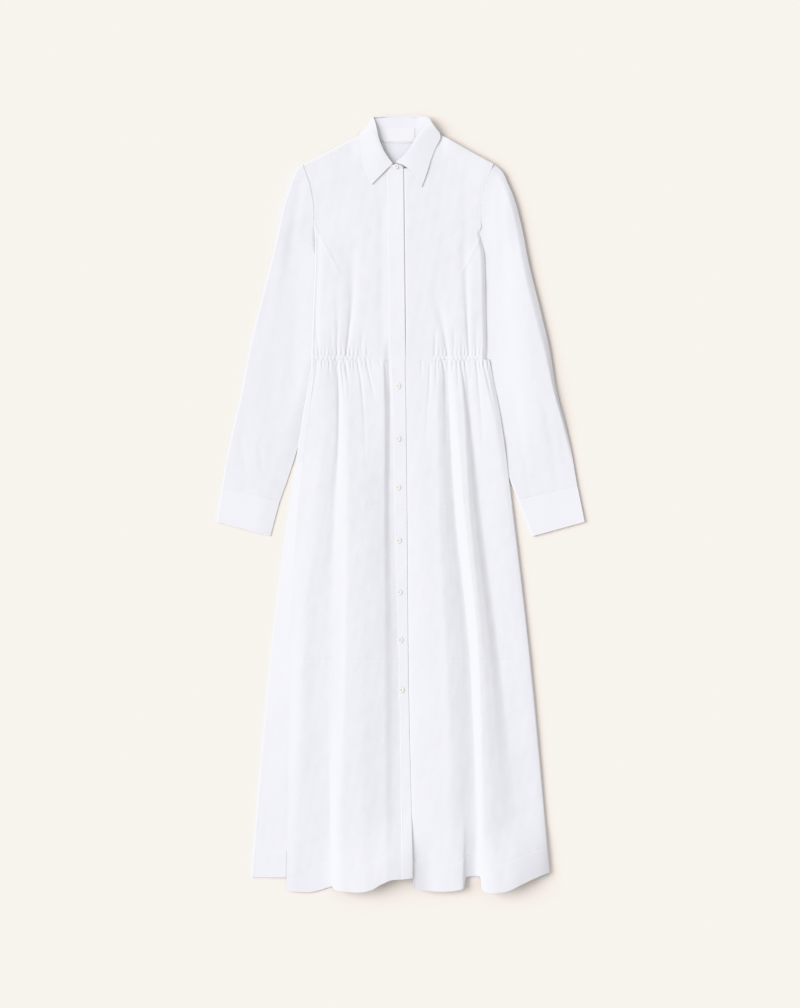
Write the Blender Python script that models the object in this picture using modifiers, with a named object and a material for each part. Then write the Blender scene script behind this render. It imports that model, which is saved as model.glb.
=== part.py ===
"""A long shirt dress in white poplin, laid flat on its back panels.

+X is the wearer's left, +Y points from hem to collar, +Z is up, and the floor is z = 0.  The origin is
under the middle of the laid garment.  Tables and sizes are in millimetres; `cloth` turns them to metres.
Every panel is worked out as rows of points on its outer face, and Solidify gives it its wall.
"""

import bmesh
import bpy
import numpy as np

MM = 0.001

WALL = 1.2  # cloth of the panels, with its turnings
BAND_WALL = 1.0  # button bands and label
GAP = 0.3  # between pieces that meet
ARMHOLE_GAP = 0.9  # wider, because the two sides of the seam are curved
STACK = 2 * WALL + GAP  # outer face of a front that lies on a back, with no air between them
SLEEVE_HEIGHT = 6.2
TUCKED_HEIGHT = 3.3  # a sleeve pressed flat under the body
TUCK_LIFT = 4.0  # what the body rises over a tucked sleeve
BODICE_RISE = 3.0  # air under the bodice front
LEAST_RISE = 1.2  # at the bottom of a fold
COLLAR_LIFT = 1.6  # what the neck seam adds under the collar

WAIST = 260.0
THIGH_SEAM = -3.0
KNEE_SEAM = -282.0
HIP = 160.0
SHOULDER_TIP = 612.0
ARMPIT = 495.0
BACK_HEM = -674.0
VENT_TOP = -625.0
VENT_WIDTH = 2.5
FOLD_RADIUS = 6.0  # of the back where it wraps round to the front
SOFT_RIPPLE = 1.0  # of the back against the floor
SOFT_PITCH = 46.0

GATHER_PITCH = 7.6
GATHER_DEPTH = 0.8
GATHER_RUN = 60.0  # how far gathers run down from the waist seam

CUFF_HEIGHT = 6.6
BACK_CLEARANCE = 1.9  # between the top of the stand and the roll of the leaf
FRONT_CLEARANCE = 3.4
LABEL_WIDTH = 52.0
BAND_WIDTH = 29.0
BODICE_BAND_TOP = 598.0
BAND_FOLD_LINES = (11.0, 12.0)  # where the skirt band lies, counted in fold lines of the right front

BUTTON_RADIUS = 5.5
BUTTON_THICKNESS = 2.4
BUTTON_CLEARANCE = 0.5
NECK_BUTTON_HEIGHT = 9.8
NECK_BUTTON_RADIUS = 4.5

# y, side of the body on the wearer's right, side on the wearer's left
BODY_SIDES = (
    (-695, -271, 269),
    (-282, -235, 230),
    (-3, -200, 198),
    (160, -176, 170),
    (260, -160, 155),
    (313, -158, 152),
    (367, -156, 151),
    (439, -153, 149),
    (495, -154, 143),
)

# y, armhole on the wearer's right, armhole on the wearer's left
ARMHOLES = (
    (495, -155, 145),
    (529, -156, 146),
    (566, -161, 152),
    (593, -169, 160),
    (612, -176, 168),
)

# Half of the front's upper edge from the centre to the shoulder tip: share of the width, x, y
NECK_AND_SHOULDER = (
    (0.00, -3, 603),
    (0.12, 23, 605),
    (0.24, 37, 620),
    (0.38, 51, 641),
    (0.54, 65, 667),
    (0.66, 86, 658),
    (0.80, 124, 637),
    (0.93, 158, 619),
    (1.00, 172, 612),
)

# Stations of a sleeve from armhole to cuff end: outer x, outer y, inner x, inner y
RIGHT_SLEEVE = (
    (-177, 612, -156, 495),
    (-188, 602, -159, 481),
    (-198, 576, -159, 463),
    (-208, 546, -145, 441),
    (-220, 495, -127, 410),
    (-235, 428, -115, 373),
    (-253, 358, -116, 322),
    (-272, 281, -136, 255),
    (-287, 201, -161, 179),
    (-303, 131, -185, 102),
    (-315, 73, -203, 46),
    (-322, 30, -218, 3),
    (-332, -33, -235, -59),
)
LEFT_SLEEVE = (
    (169, 612, 146, 495),
    (180, 600, 149, 481),
    (191, 576, 150, 463),
    (203, 546, 138, 441),
    (216, 495, 120, 410),
    (230, 428, 109, 373),
    (248, 358, 113, 322),
    (267, 281, 133, 255),
    (281, 201, 158, 179),
    (299, 131, 179, 102),
    (311, 73, 196, 46),
    (319, 30, 212, 5),
    (332, -33, 238, -59),
)
SLEEVE_STATIONS = (0, 0.5, 1, 2, 3, 4, 5, 6, 7, 8, 9, 10, 10.99)
CUFF_STATIONS = (11.01, 11.5, 12)

# Folds of the skirt fronts, each a line from waist to hem.
# name, x at waist, hip, thigh seam, knee seam, hem; rise at waist, thigh seam, knee seam, hem; y of hem
RIGHT_SKIRT_FOLDS = (
    ("side seam", -152, -165, -185, -199, -207, 1.5, 2.5, 3.5, 5.0, -696),
    ("side ridge", -134, -131, -147, -176, -193, 4.0, 7.0, 8.0, 8.0, -699),
    ("side slope", -124, -120, -127, -145, -158, 3.5, 5.5, 6.5, 7.5, -701),
    ("side trough", -114, -111, -116, -124, -124, 1.5, 1.5, 1.8, 3.0, -690),
    ("side riser", -109, -106, -110, -116, -120, 4.0, 6.0, 7.5, 9.0, -692),
    ("middle ridge", -98, -89, -91, -97, -97, 4.5, 7.0, 8.0, 8.5, -697),
    ("middle trough", -78, -62, -62, -69, -69, 2.5, 4.5, 6.5, 8.0, -699),
    ("inner ridge", -60, -49, -44, -51, -50, 4.5, 6.5, 8.0, 9.0, -692),
    ("inner slope", -41, -38, -38, -39, -37, 3.5, 5.5, 7.0, 8.0, -686),
    ("crevice lip", -34, -33, -33, -30, -26, 3.5, 5.5, 6.5, 7.5, -680),
    ("crevice", -28, -27, -27, -23, -16, 1.2, 1.2, 1.4, 2.0, -676),
    ("band start", -22, -21, -19, -15, -8, 3.5, 4.5, 5.0, 6.0, -676),
    ("front edge", 8, 10, 12, 14, 23, 3.5, 4.5, 5.0, 6.0, -674),
)
LEFT_SKIRT_FOLDS = (
    ("hidden edge", -15, -14, -12, -9, -1, 1.6, 2.6, 3.1, 4.1, -686),
    ("under the edge", 11, 13, 15, 17, 26, 1.6, 2.6, 3.1, 4.1, -690),
    ("beside the edge", 17, 19, 21, 23, 33, 3.4, 5.2, 6.5, 8.0, -694),
    ("inner trough", 42, 51, 44, 44, 53, 2.5, 4.0, 5.5, 7.5, -697),
    ("inner ridge", 59, 66, 60, 66, 77, 4.0, 6.5, 8.5, 11.0, -699),
    ("deep lip", 73, 76, 79, 91, 113, 4.5, 9.0, 12.0, 15.0, -696),
    ("deep floor start", 79, 82, 85, 98, 119, 1.5, 1.0, 1.2, 1.5, -672),
    ("deep floor end", 84, 88, 95, 118, 141, 1.2, 1.0, 1.3, 2.0, -672),
    ("deep far lip", 90, 93, 100, 124, 146, 4.0, 6.0, 7.0, 8.0, -694),
    ("outer ridge", 103, 111, 120, 142, 170, 4.5, 9.0, 11.0, 12.0, -699),
    ("outer lip", 109, 118, 129, 156, 199, 4.5, 8.5, 11.0, 12.0, -695),
    ("outer floor start", 113, 123, 134, 161, 205, 2.0, 1.5, 2.0, 10.0, -693),
    ("outer floor end", 117, 127, 142, 171, 214, 2.0, 1.5, 3.0, 10.0, -688),
    ("side ridge", 125, 134, 154, 185, 234, 4.0, 8.0, 11.0, 12.0, -677),
    ("side trough", 134, 145, 169, 198, 246, 3.0, 5.0, 8.0, 9.0, -672),
    ("side roll", 145, 156, 183, 214, 256, 3.5, 5.0, 6.0, 6.5, -669),
    ("side edge", 156, 170, 198, 230, 269, 0.4, 0.4, 0.4, 0.4, -665),
)

# Folds of the bodice: upper x, y; middle x, y; lower x, y; depth; half width
RIGHT_BODICE_FOLDS = (
    (-84, 436, -87, 367, -98, 275, -2.2, 8),
    (-118, 403, -115, 331, -113, 277, -1.5, 8),
    (-152, 403, -149, 331, -143, 273, -1.0, 8),
    (-148, 508, -128, 457, -109, 409, 1.0, 7),
    (-33, 566, -33, 420, -33, 277, -0.8, 9),
)
LEFT_BODICE_FOLDS = (
    (115, 484, 118, 367, 123, 273, -2.2, 8),
    (60, 376, 75, 324, 85, 275, -1.8, 8),
    (96, 358, 96, 320, 97, 273, -1.2, 7),
    (61, 340, 61, 313, 62, 272, -1.0, 7),
    (143, 506, 132, 470, 107, 425, 1.0, 7),
)

# Sections of the collar from the wearer's right tip round the back to the left tip: name, and the
# x, y, z of the neck seam, of the roll line, of the cloth just past the roll and of the outer edge
COLLAR_SECTIONS = (
    ("right front", (-20, 607, 7.4), (-14, 613, 11.0), (-24, 603, 11.6), (-52, 575, 7.6)),
    ("right tip", (-28, 613, 7.4), (-19, 619, 11.5), (-27, 614, 12.6), (-62, 591, 7.6)),
    ("right leaf", (-36, 622, 7.4), (-28, 632, 12.2), (-33, 631, 13.6), (-68, 612, 7.6)),
    ("right neck", (-48, 641, 7.2), (-35, 647, 12.2), (-40, 648, 13.6), (-71, 638, 7.6)),
    ("right side", (-57, 656, 6.6), (-40, 662, 12.0), (-46, 664, 13.2), (-75, 658, 7.8)),
    ("right shoulder", (-61, 669, 5.4), (-44, 680, 10.6), (-56, 677, 9.8), (-71, 671, 4.6)),
    ("right turn", (-50, 662, 3.8), (-48, 694, 7.6), (-59, 687, 5.6), (-56, 672, 1.2)),
    ("right back", (-27, 652, 2.6), (-27, 696, 5.6), (-28, 699.4, 3.6), (-27, 659, 0.7)),
    ("centre back", (0, 650, 2.4), (0, 696, 5.2), (0, 699.4, 3.2), (0, 657, 0.7)),
    ("left back", (27, 652, 2.6), (26, 696, 5.6), (27, 699.4, 3.6), (27, 659, 0.7)),
    ("left turn", (50, 662, 3.8), (46, 693, 7.6), (58, 687, 5.6), (57, 673, 1.2)),
    ("left shoulder", (61, 669, 5.4), (42, 683, 10.6), (57, 679, 9.8), (71, 672, 4.6)),
    ("left side", (57, 656, 6.6), (36, 672, 12.0), (44, 673, 13.2), (72, 660, 7.8)),
    ("left neck", (48, 641, 7.2), (26, 656, 12.2), (32, 657, 13.4), (62, 638, 7.6)),
    ("left leaf", (36, 622, 7.4), (14, 637, 12.2), (20, 637, 13.2), (54, 617, 7.6)),
    ("left tip", (26, 610, 7.4), (3, 625, 11.5), (10, 624, 12.4), (47, 594, 7.6)),
    ("left front", (16, 606, 7.4), (-9, 615, 11.0), (8, 608, 11.8), (38, 570, 7.6)),
)

# Right end of the collar stand, which laps over the left and takes the neck button
STAND_END = ((4, 604.6, 6.9), (0, 610, 7.6))

# Buttons of the skirt band: x, y
SKIRT_BUTTONS = ((-5, 212), (-5, 117), (-5, 29), (-4, -67), (-3, -160), (-1, -246), (1, -336))
NECK_BUTTON = (-8, 607.5)


def pchip(keys, values, at):
    """Monotone cubic interpolation: smooth, and never past its own keys."""
    keys = np.asarray(keys, float)
    values = np.asarray(values, float)
    at = np.clip(at, keys[0], keys[-1])
    steps = np.diff(keys)
    slopes = np.diff(values) / steps
    tangents = np.zeros_like(values)
    tangents[0] = slopes[0]
    tangents[-1] = slopes[-1]
    turning = slopes[:-1] * slopes[1:] > 0
    before = 2 * steps[1:] + steps[:-1]
    after = steps[1:] + 2 * steps[:-1]
    safe = np.where(turning, slopes[:-1], 1.0), np.where(turning, slopes[1:], 1.0)
    blended = (before + after) / (before / safe[0] + after / safe[1])
    tangents[1:-1] = np.where(turning, blended, 0.0)
    cell = np.clip(np.searchsorted(keys, at, side="right") - 1, 0, len(keys) - 2)
    t = (at - keys[cell]) / steps[cell]
    return (
        (1 + 2 * t) * (1 - t) ** 2 * values[cell]
        + t * (1 - t) ** 2 * steps[cell] * tangents[cell]
        + t**2 * (3 - 2 * t) * values[cell + 1]
        + t**2 * (t - 1) * steps[cell] * tangents[cell + 1]
    )


def ease(share):
    """0 before 0, 1 after 1, and a smooth rise between."""
    share = np.clip(share, 0.0, 1.0)
    return share * share * (3 - 2 * share)


def body_side(y, side):
    """Distance of the body's side from the middle, at height y."""
    rows = np.array(BODY_SIDES, float)
    return np.abs(pchip(rows[:, 0], rows[:, 1 if side < 0 else 2], y))


def tucked_edge(y, side):
    """Distance of the hidden inner edge of a sleeve from the middle."""
    rows = np.array((RIGHT_SLEEVE if side < 0 else LEFT_SLEEVE)[3:12], float)[::-1]
    return np.abs(pchip(rows[:, 3], rows[:, 2], y))


def base(x, y):
    """Height of the underside of the back: flat on the floor, over the tucked sleeves and the collar."""
    x = np.asarray(x, float)
    y = np.broadcast_to(np.asarray(y, float), x.shape)
    edge = np.where(x < 0, tucked_edge(y, -1), tucked_edge(y, 1))
    over_sleeve = ease((np.abs(x) - edge + 28) / 18) * ease((510 - y) / 32) * ease((y - 56) / 30)
    over_collar = ease((y - 600) / 40) * (1 - ease((np.abs(x) - 68) / 24))
    return TUCK_LIFT * over_sleeve + COLLAR_LIFT * over_collar


def gathers(x, y, seam=WAIST):
    """Fine pleats held by the waist seam, which fade away from it."""
    return GATHER_DEPTH * np.sin(2 * np.pi * x / GATHER_PITCH) * (1 - ease(np.abs(y - seam) / GATHER_RUN))


def elastic(x):
    """1 where the waist is elastic, 0 beside the button band."""
    return ease((np.abs(x + 1) - 56) / 8)


def new_material(name, colour, roughness):
    material = bpy.data.materials.new(name)
    material.use_nodes = True
    shader = material.node_tree.nodes["Principled BSDF"]
    shader.inputs["Base Color"].default_value = (*colour, 1.0)
    shader.inputs["Roughness"].default_value = roughness
    shader.inputs["Metallic"].default_value = 0.0
    return material


def cloth(name, points, material, wall=WALL, offset=-1.0, ring=False):
    """A panel from rows of points on its outer face, columns across it; a ring joins its two sides."""
    points = np.asarray(points, float)
    rows, columns = points.shape[:2]
    bm = bmesh.new()
    bmesh.ops.create_grid(bm, x_segments=columns - 1, y_segments=rows - 1, size=1.0)
    for vertex, point in zip(bm.verts, points.reshape(-1, 3)):
        vertex.co = point * MM
    if ring:
        bmesh.ops.remove_doubles(bm, verts=bm.verts, dist=0.00001)
    mesh = bpy.data.meshes.new(name)
    bm.to_mesh(mesh)
    bm.free()
    mesh.shade_smooth()
    panel = bpy.data.objects.new(name, mesh)
    mesh.materials.append(material)
    shell = panel.modifiers.new("wall", "SOLIDIFY")
    shell.thickness = wall * MM
    shell.offset = offset
    garment.objects.link(panel)
    return panel


# --- bodice -------------------------------------------------------------------------------------


def fold_relief(x, y, folds):
    """Sum of the soft troughs and ridges of a bodice panel."""
    relief = np.zeros_like(x)
    for x0, y0, x1, y1, x2, y2, depth, half_width in folds:
        line = pchip((y2, y1, y0), (x2, x1, x0), y)
        run = ease((y0 - y) / 35) * ease((y - y2 + 30) / 30)
        relief += depth * np.exp(-(((x - line) / half_width) ** 2)) * run
    return relief


def coons(bottom, top, left, right):
    """Points of a patch between four edges, given as (columns, 2) and (rows, 2)."""
    u = np.linspace(0, 1, len(bottom))[None, :, None]
    v = np.linspace(0, 1, len(left))[:, None, None]
    ruled = (1 - v) * bottom[None] + v * top[None] + (1 - u) * left[:, None] + u * right[:, None]
    corners = (1 - u) * ((1 - v) * bottom[0] + v * top[0]) + u * ((1 - v) * bottom[-1] + v * top[-1])
    return ruled - corners


def side_edge(heights, side):
    """The side seam and the armhole of a bodice panel, from the waist to the shoulder tip."""
    sides = np.array(BODY_SIDES, float)
    holes = np.array(ARMHOLES, float)
    column = 1 if side < 0 else 2
    seam = pchip(sides[:, 0], sides[:, column], heights)
    hole = pchip(holes[:, 0], holes[:, column], heights)
    x = np.where(heights < ARMPIT, seam, hole) - side * GAP
    return np.stack((x, heights), axis=1)


def upper_edge(shares, side):
    """Neck and shoulder from the centre (0) to the shoulder tip (1) on one side."""
    rows = np.array(NECK_AND_SHOULDER, float)
    tip = side_edge(np.array([SHOULDER_TIP]), side)[0]
    x = np.interp(shares, rows[:, 0], rows[:, 1]) * side
    x += (tip[0] - 172 * side) * ease((shares - 0.54) / 0.46)
    return np.stack((x, np.interp(shares, rows[:, 0], rows[:, 2])), axis=1)


def bodice_front(side, columns=30, rows=12):
    """Plan and height of one front, as rows of points, columns running towards +X."""
    centre_waist, centre_neck = (9.0, 5.0) if side < 0 else (-15.0, -15.0)
    shares = np.linspace(0, 1, columns)
    heights = np.linspace(WAIST + GAP, SHOULDER_TIP, rows)
    outer = side_edge(heights, side)
    top = upper_edge(shares, side)
    top[0, 0] = centre_neck
    closing = np.linspace(0, 1, rows)
    closing_y = WAIST + GAP + closing * (top[0, 1] - WAIST - GAP)
    centre = np.stack((centre_waist + closing * (centre_neck - centre_waist), closing_y), axis=1)
    spread = np.interp(shares, (0, 0.2, 1), (0, 0.38, 1))
    waist = np.stack((centre[0, 0] + spread * (outer[0, 0] - centre[0, 0]), 0 * shares + WAIST + GAP), axis=1)
    plan = coons(waist, top, centre, outer)
    x, y = plan[..., 0], plan[..., 1]
    u = np.broadcast_to(shares[None, :], x.shape)
    v = np.broadcast_to(closing[:, None], x.shape)
    at_side = ease((1 - u) * 150 / 12)
    along_armhole = ease((y - ARMPIT + 12) / 12)
    at_shoulder = ease((1 - v) * 340 / 12 + ease((0.54 - u) / 0.04))
    edges = (at_side + (1 - at_side) * along_armhole) * at_shoulder
    return x, y, 0.4 + (BODICE_RISE - 0.4) * edges, edges


def bodice_front_points(side):
    x, y, rise, edges = bodice_front(side)
    folds = RIGHT_BODICE_FOLDS if side < 0 else LEFT_BODICE_FOLDS
    rise = rise + fold_relief(x, y, folds) * edges + gathers(x, y) * elastic(x) * edges
    if side > 0:
        rise = rise - 1.8 * (1 - ease((x - 12) / 7))
    points = np.stack((x, y, STACK + base(x, y) + rise), axis=-1)
    points[..., 2] = np.maximum(points[..., 2], STACK + base(x, y) + LEAST_RISE)
    return points[:, ::-1] if side < 0 else points


def bodice_back_points(columns=28, rows=14):
    """The back from side seam to side seam; its outer face is its underside."""
    shares = np.linspace(0, 1, columns)
    heights = np.linspace(WAIST + GAP, SHOULDER_TIP, rows)
    left, right = side_edge(heights, 1), side_edge(heights, -1)
    waist = np.stack((left[0, 0] + shares * (right[0, 0] - left[0, 0]), 0 * shares + WAIST + GAP), axis=1)
    half = np.abs(2 * shares - 1)
    top = np.where(shares[:, None] < 0.5, upper_edge(0.54 + 0.46 * half, 1), upper_edge(0.54 + 0.46 * half, -1))
    # the shoulders take the outer parts of the edge, and the back neck the middle
    neck_share = 0.34
    on_shoulder = np.clip((half - neck_share) / (1 - neck_share), 0, 1)
    for index, share in enumerate(on_shoulder):
        side = 1 if shares[index] < 0.5 else -1
        if share > 0:
            top[index] = upper_edge(np.array([0.54 + 0.46 * share]), side)[0]
        else:
            across = half[index] / neck_share
            top[index] = (side * 65 * across, 648 + 19 * across**2.5)
    plan = coons(waist, top, left, right)
    x, y = plan[..., 0], plan[..., 1]
    gathered = 0.5 * (gathers(x, y) + GATHER_DEPTH * (1 - ease(np.abs(y - WAIST) / GATHER_RUN)))
    return np.stack((x, y, base(x, y) + gathered), axis=-1)


# --- skirt --------------------------------------------------------------------------------------


def fold_at(fold, y):
    """x and rise of one fold line at height y."""
    _, *numbers, hem = fold
    x = pchip((hem, KNEE_SEAM, THIGH_SEAM, HIP, WAIST), numbers[4::-1], y)
    rise = pchip((hem, KNEE_SEAM, THIGH_SEAM, WAIST), numbers[8:4:-1], y)
    return x, rise


def fold_lines(folds, tier, share):
    """x, y and rise of every fold line at a share of a tier, from its lower edge up."""
    found = []
    for fold in folds:
        low, high = ((THIGH_SEAM, WAIST), (KNEE_SEAM, THIGH_SEAM), (fold[-1], KNEE_SEAM))[tier]
        y = low + GAP / 2 + share * (high - low - GAP)
        x, rise = fold_at(fold, y)
        found.append((x, y, rise))
    return np.array(found, float)


def skirt_columns(folds, tier):
    """Where the columns of a tier lie, counted in fold lines: on each line, and as many between as fit."""
    station, spacing = ((0, 4.0), (3, 17.0), (4, 19.0))[tier]
    xs = [row[1 + station] for row in folds]
    columns = [0.0]
    for index, (left, right) in enumerate(zip(xs, xs[1:])):
        pieces = max(1, round((right - left) / spacing))
        columns += [index + (step + 1) / pieces for step in range(pieces)]
    return np.array(columns)


def skirt_row(folds, columns, tier, share):
    """One row of a skirt front: fold lines joined smoothly, with the gathers of the waist."""
    lines = fold_lines(folds, tier, share)
    index = np.arange(len(lines))
    x, y, rise = (pchip(index, lines[:, axis], columns) for axis in range(3))
    edge = ease(columns / 0.5) * ease((index[-1] - columns) / 0.5)
    rise = rise + gathers(x, y) * elastic(x) * edge
    return np.stack((x, y, STACK + base(x, y) + rise), axis=1)


def skirt_front_points(folds, tier):
    rows = (8, 4, 6)[tier]
    shares = np.linspace(0, 1, rows + 1)
    if tier == 0:
        shares = 1 - (1 - shares) ** 1.6
    columns = skirt_columns(folds, tier)
    points = np.array([skirt_row(folds, columns, tier, share) for share in shares])
    if folds is RIGHT_SKIRT_FOLDS and tier == 2:
        open_vent = VENT_WIDTH * ease((VENT_TOP - points[..., 1]) / 8) * ease(1 - columns / 1.0)
        points[..., 0] += open_vent
    return points


def skirt_back_row(y, floor_columns):
    """One row of a skirt back: along the floor towards -X, round the fold, and up to the side seam."""
    right = -float(body_side(y, -1)) + FOLD_RADIUS
    left = float(body_side(y, 1)) - 1.0
    seam_x, seam_rise = fold_at(RIGHT_SKIRT_FOLDS[0], max(y, BACK_HEM))
    vent = VENT_WIDTH * float(ease((VENT_TOP - y) / 8)) / 2
    shares = np.linspace(0, 1, floor_columns)
    x = left + (right - left) * shares
    gathered = GATHER_DEPTH * (1 + np.sin(np.pi * x / GATHER_PITCH)) * (1 - ease((WAIST - y) / GATHER_RUN))
    soft = SOFT_RIPPLE * (1 - np.cos(2 * np.pi * x / SOFT_PITCH)) * ease((WAIST - y) / 80)
    raised = 0.5 * (gathered + soft) * ease(shares / 0.1) * ease((1 - shares) / 0.1)
    under = np.stack((x, 0 * x + y, base(x, y) + raised), axis=1)
    low = float(under[-1, 2])
    top = STACK + low + float(seam_rise)
    turns = np.radians(np.linspace(-90, 90, 7))[1:]
    fold_x = right - FOLD_RADIUS * np.cos(turns)
    fold_z = (top + low) / 2 + (top - low) / 2 * np.sin(turns)
    fold = np.stack((fold_x, 0 * turns + y, fold_z), axis=1)
    over_x = np.linspace(right, float(seam_x) - GAP - vent, 4)[1:]
    lifted = STACK + base(over_x, y) + float(seam_rise)
    over = np.stack((over_x, 0 * over_x + y, lifted), axis=1)
    return np.concatenate((under, fold, over))


def skirt_back_points(tier):
    low, high = ((THIGH_SEAM, WAIST), (KNEE_SEAM, THIGH_SEAM), (BACK_HEM, KNEE_SEAM))[tier]
    rows, columns = ((8, 42), (4, 20), (5, 20))[tier]
    shares = np.linspace(0, 1, rows + 1)
    if tier == 0:
        shares = 1 - (1 - shares) ** 1.6
    heights = low + GAP / 2 + shares * (high - low - GAP)
    return np.array([skirt_back_row(y, columns) for y in heights])


def skirt_band_points():
    """The button band of the skirt, on the right front from the hem to the waist seam."""
    columns = np.linspace(*BAND_FOLD_LINES, 3)
    points = []
    for tier, rows in ((2, 6), (1, 4), (0, 8)):
        shares = np.linspace(0, 1, rows + 1)
        if tier == 0:
            shares = 1 - (1 - shares) ** 1.6
        points += [skirt_row(RIGHT_SKIRT_FOLDS, columns, tier, share) for share in shares]
    points = np.array(points)
    points[..., 2] += GAP + BAND_WALL
    return points


def bodice_band_points():
    """The button band of the bodice, on the right front from the waist seam to the neck."""
    heights = np.linspace(WAIST + 2 * GAP, BODICE_BAND_TOP, 10)[:, None]
    edge = 9.0 - 4.0 * (heights - WAIST) / (SHOULDER_TIP - WAIST)
    x = edge - BAND_WIDTH * (1 - np.linspace(0, 1, 3)[None, :])
    y = heights + 0 * x
    rise = BODICE_RISE + fold_relief(x, y, RIGHT_BODICE_FOLDS)
    z = STACK + base(x, y) + rise + GAP + BAND_WALL
    return np.stack((x, y, z), axis=-1)


# --- sleeves and cuffs --------------------------------------------------------------------------


def sleeve_height(x, y, side):
    """How high the laid sleeve stands: full beside the body, pressed flat under it."""
    outside = np.abs(x) - body_side(y, side)
    beside = ease((outside - 14) / 16)
    beside += (1 - beside) * ease((y - ARMPIT + 25) / 25)
    return TUCKED_HEIGHT + (SLEEVE_HEIGHT - TUCKED_HEIGHT) * beside


def sleeve_ring(side, station, count, height=None):
    """A ring round the sleeve at a station: over the top from the outer edge to the inner, and back."""
    rows = np.array(RIGHT_SLEEVE if side < 0 else LEFT_SLEEVE, float)
    stations = np.arange(len(rows))
    outer_x, outer_y, inner_x, inner_y = (pchip(stations, rows[:, c], station) for c in range(4))
    turns = 2 * np.pi * np.arange(count + 1) / count
    across = (1 - np.cos(turns)) / 2
    x = outer_x + across * (inner_x - outer_x)
    y = outer_y + across * (inner_y - outer_y)
    # the first rings follow the curve of the armhole
    first_x = rows[0, 0] + across * (rows[0, 2] - rows[0, 0])
    first_y = rows[0, 1] + across * (rows[0, 3] - rows[0, 1])
    holes = np.array(ARMHOLES, float)
    curve = pchip(holes[:, 0], holes[:, 1 if side < 0 else 2], first_y) - first_x
    x = x + (curve + side * ARMHOLE_GAP) * (1 - ease(station / 4.0))
    full = sleeve_height(x, y, side) if height is None else height
    rounding = (1 - np.abs(2 * across - 1) ** 5) ** 0.2
    over = np.where(turns <= np.pi, 1.0, -1.0)
    return np.stack((x, y, full / 2 * (1 + over * rounding)), axis=1)


def tube_points(side, stations, count, height=None):
    rings = np.array([sleeve_ring(side, station, count, height) for station in stations])
    return rings[::-1] if side < 0 else rings


# --- collar -------------------------------------------------------------------------------------


def collar_section(share):
    """Neck, roll, turn and edge of the collar at a share of its length, from right tip to left tip."""
    index = np.arange(len(COLLAR_SECTIONS))
    at = share * index[-1]
    rows = np.array([row[1:] for row in COLLAR_SECTIONS], float)
    return np.array([[pchip(index, rows[:, p, axis], at) for axis in range(3)] for p in range(4)])


def leaf_row(share):
    _, roll, turn, edge = collar_section(share)
    along = np.array((0.0, 0.22, 1.0))
    at = np.array((0.0, 0.11, 0.22, 0.45, 0.72, 1.0))
    return np.stack([pchip(along, (roll[a], turn[a], edge[a]), at) for a in range(3)], axis=1)


def stand_row(share, columns=4):
    neck, roll, _, _ = collar_section(share)
    reach = roll - neck
    under_leaf = float(ease((abs(share - 0.5) - 0.04) / 0.07))
    clearance = BACK_CLEARANCE + (FRONT_CLEARANCE - BACK_CLEARANCE) * under_leaf
    top = roll - reach / np.linalg.norm(reach) * clearance - (0, 0, 1.2 * under_leaf)
    t = np.linspace(0, 1, columns)[:, None]
    return neck + (top - neck) * t


def stand_points(shares):
    """The stand, from its buttoned right end round the back to its left end."""
    t = np.linspace(0, 1, 4)[:, None]
    neck, top = np.array(STAND_END)
    return np.array([neck + (top - neck) * t] + [stand_row(share) for share in shares])


def label_points():
    """The bare neck label, on the inner face of the stand at the centre back."""
    section_run = COLLAR_SECTIONS[9][1][0]  # from the centre back to the next section
    rows = []
    for t in (0.06, 0.32, 0.58):
        row = []
        for x in np.linspace(-LABEL_WIDTH / 2, LABEL_WIDTH / 2, 6):
            share = 0.5 + x / section_run / (len(COLLAR_SECTIONS) - 1)
            neck, roll, _, _ = collar_section(share)
            point = neck + (roll - neck) * t
            point[2] += WALL / 2 + GAP + BAND_WALL
            row.append(point)
        rows.append(row)
    return np.array(rows)


# --- buttons ------------------------------------------------------------------------------------


def button(name, x, y, z, material, radius=BUTTON_RADIUS):
    """A turned button with a raised rim, its middle over (x, y) and its underside at z."""
    profile = (
        (0.0, BUTTON_THICKNESS * 0.72),
        (radius * 0.62, BUTTON_THICKNESS * 0.72),
        (radius * 0.78, BUTTON_THICKNESS),
        (radius * 0.92, BUTTON_THICKNESS),
        (radius, BUTTON_THICKNESS * 0.6),
        (radius * 0.9, 0.0),
        (0.0, 0.0),
    )
    bm = bmesh.new()
    corners = [bm.verts.new((r * MM, 0.0, h * MM)) for r, h in profile]
    for first, second in zip(corners, corners[1:]):
        bm.edges.new((first, second))
    mesh = bpy.data.meshes.new(name)
    bm.to_mesh(mesh)
    bm.free()
    mesh.materials.append(material)
    disc = bpy.data.objects.new(name, mesh)
    disc.location = (x * MM, y * MM, z * MM)
    spin = disc.modifiers.new("turning", "SCREW")
    spin.axis = "Z"
    spin.steps = 16
    spin.render_steps = 16
    spin.use_merge_vertices = True
    spin.merge_threshold = 0.00001
    spin.use_smooth_shade = True
    garment.objects.link(disc)
    return disc


# --- the dress ----------------------------------------------------------------------------------

for leftover in list(bpy.data.objects):
    bpy.data.objects.remove(leftover)
garment = bpy.data.collections.new("shirt_dress")
bpy.context.scene.collection.children.link(garment)
poplin = new_material("white poplin", (0.86, 0.87, 0.90), 0.85)
trim = new_material("white band", (0.88, 0.89, 0.91), 0.8)
pearl = new_material("pearl button", (0.90, 0.90, 0.90), 0.3)

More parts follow.
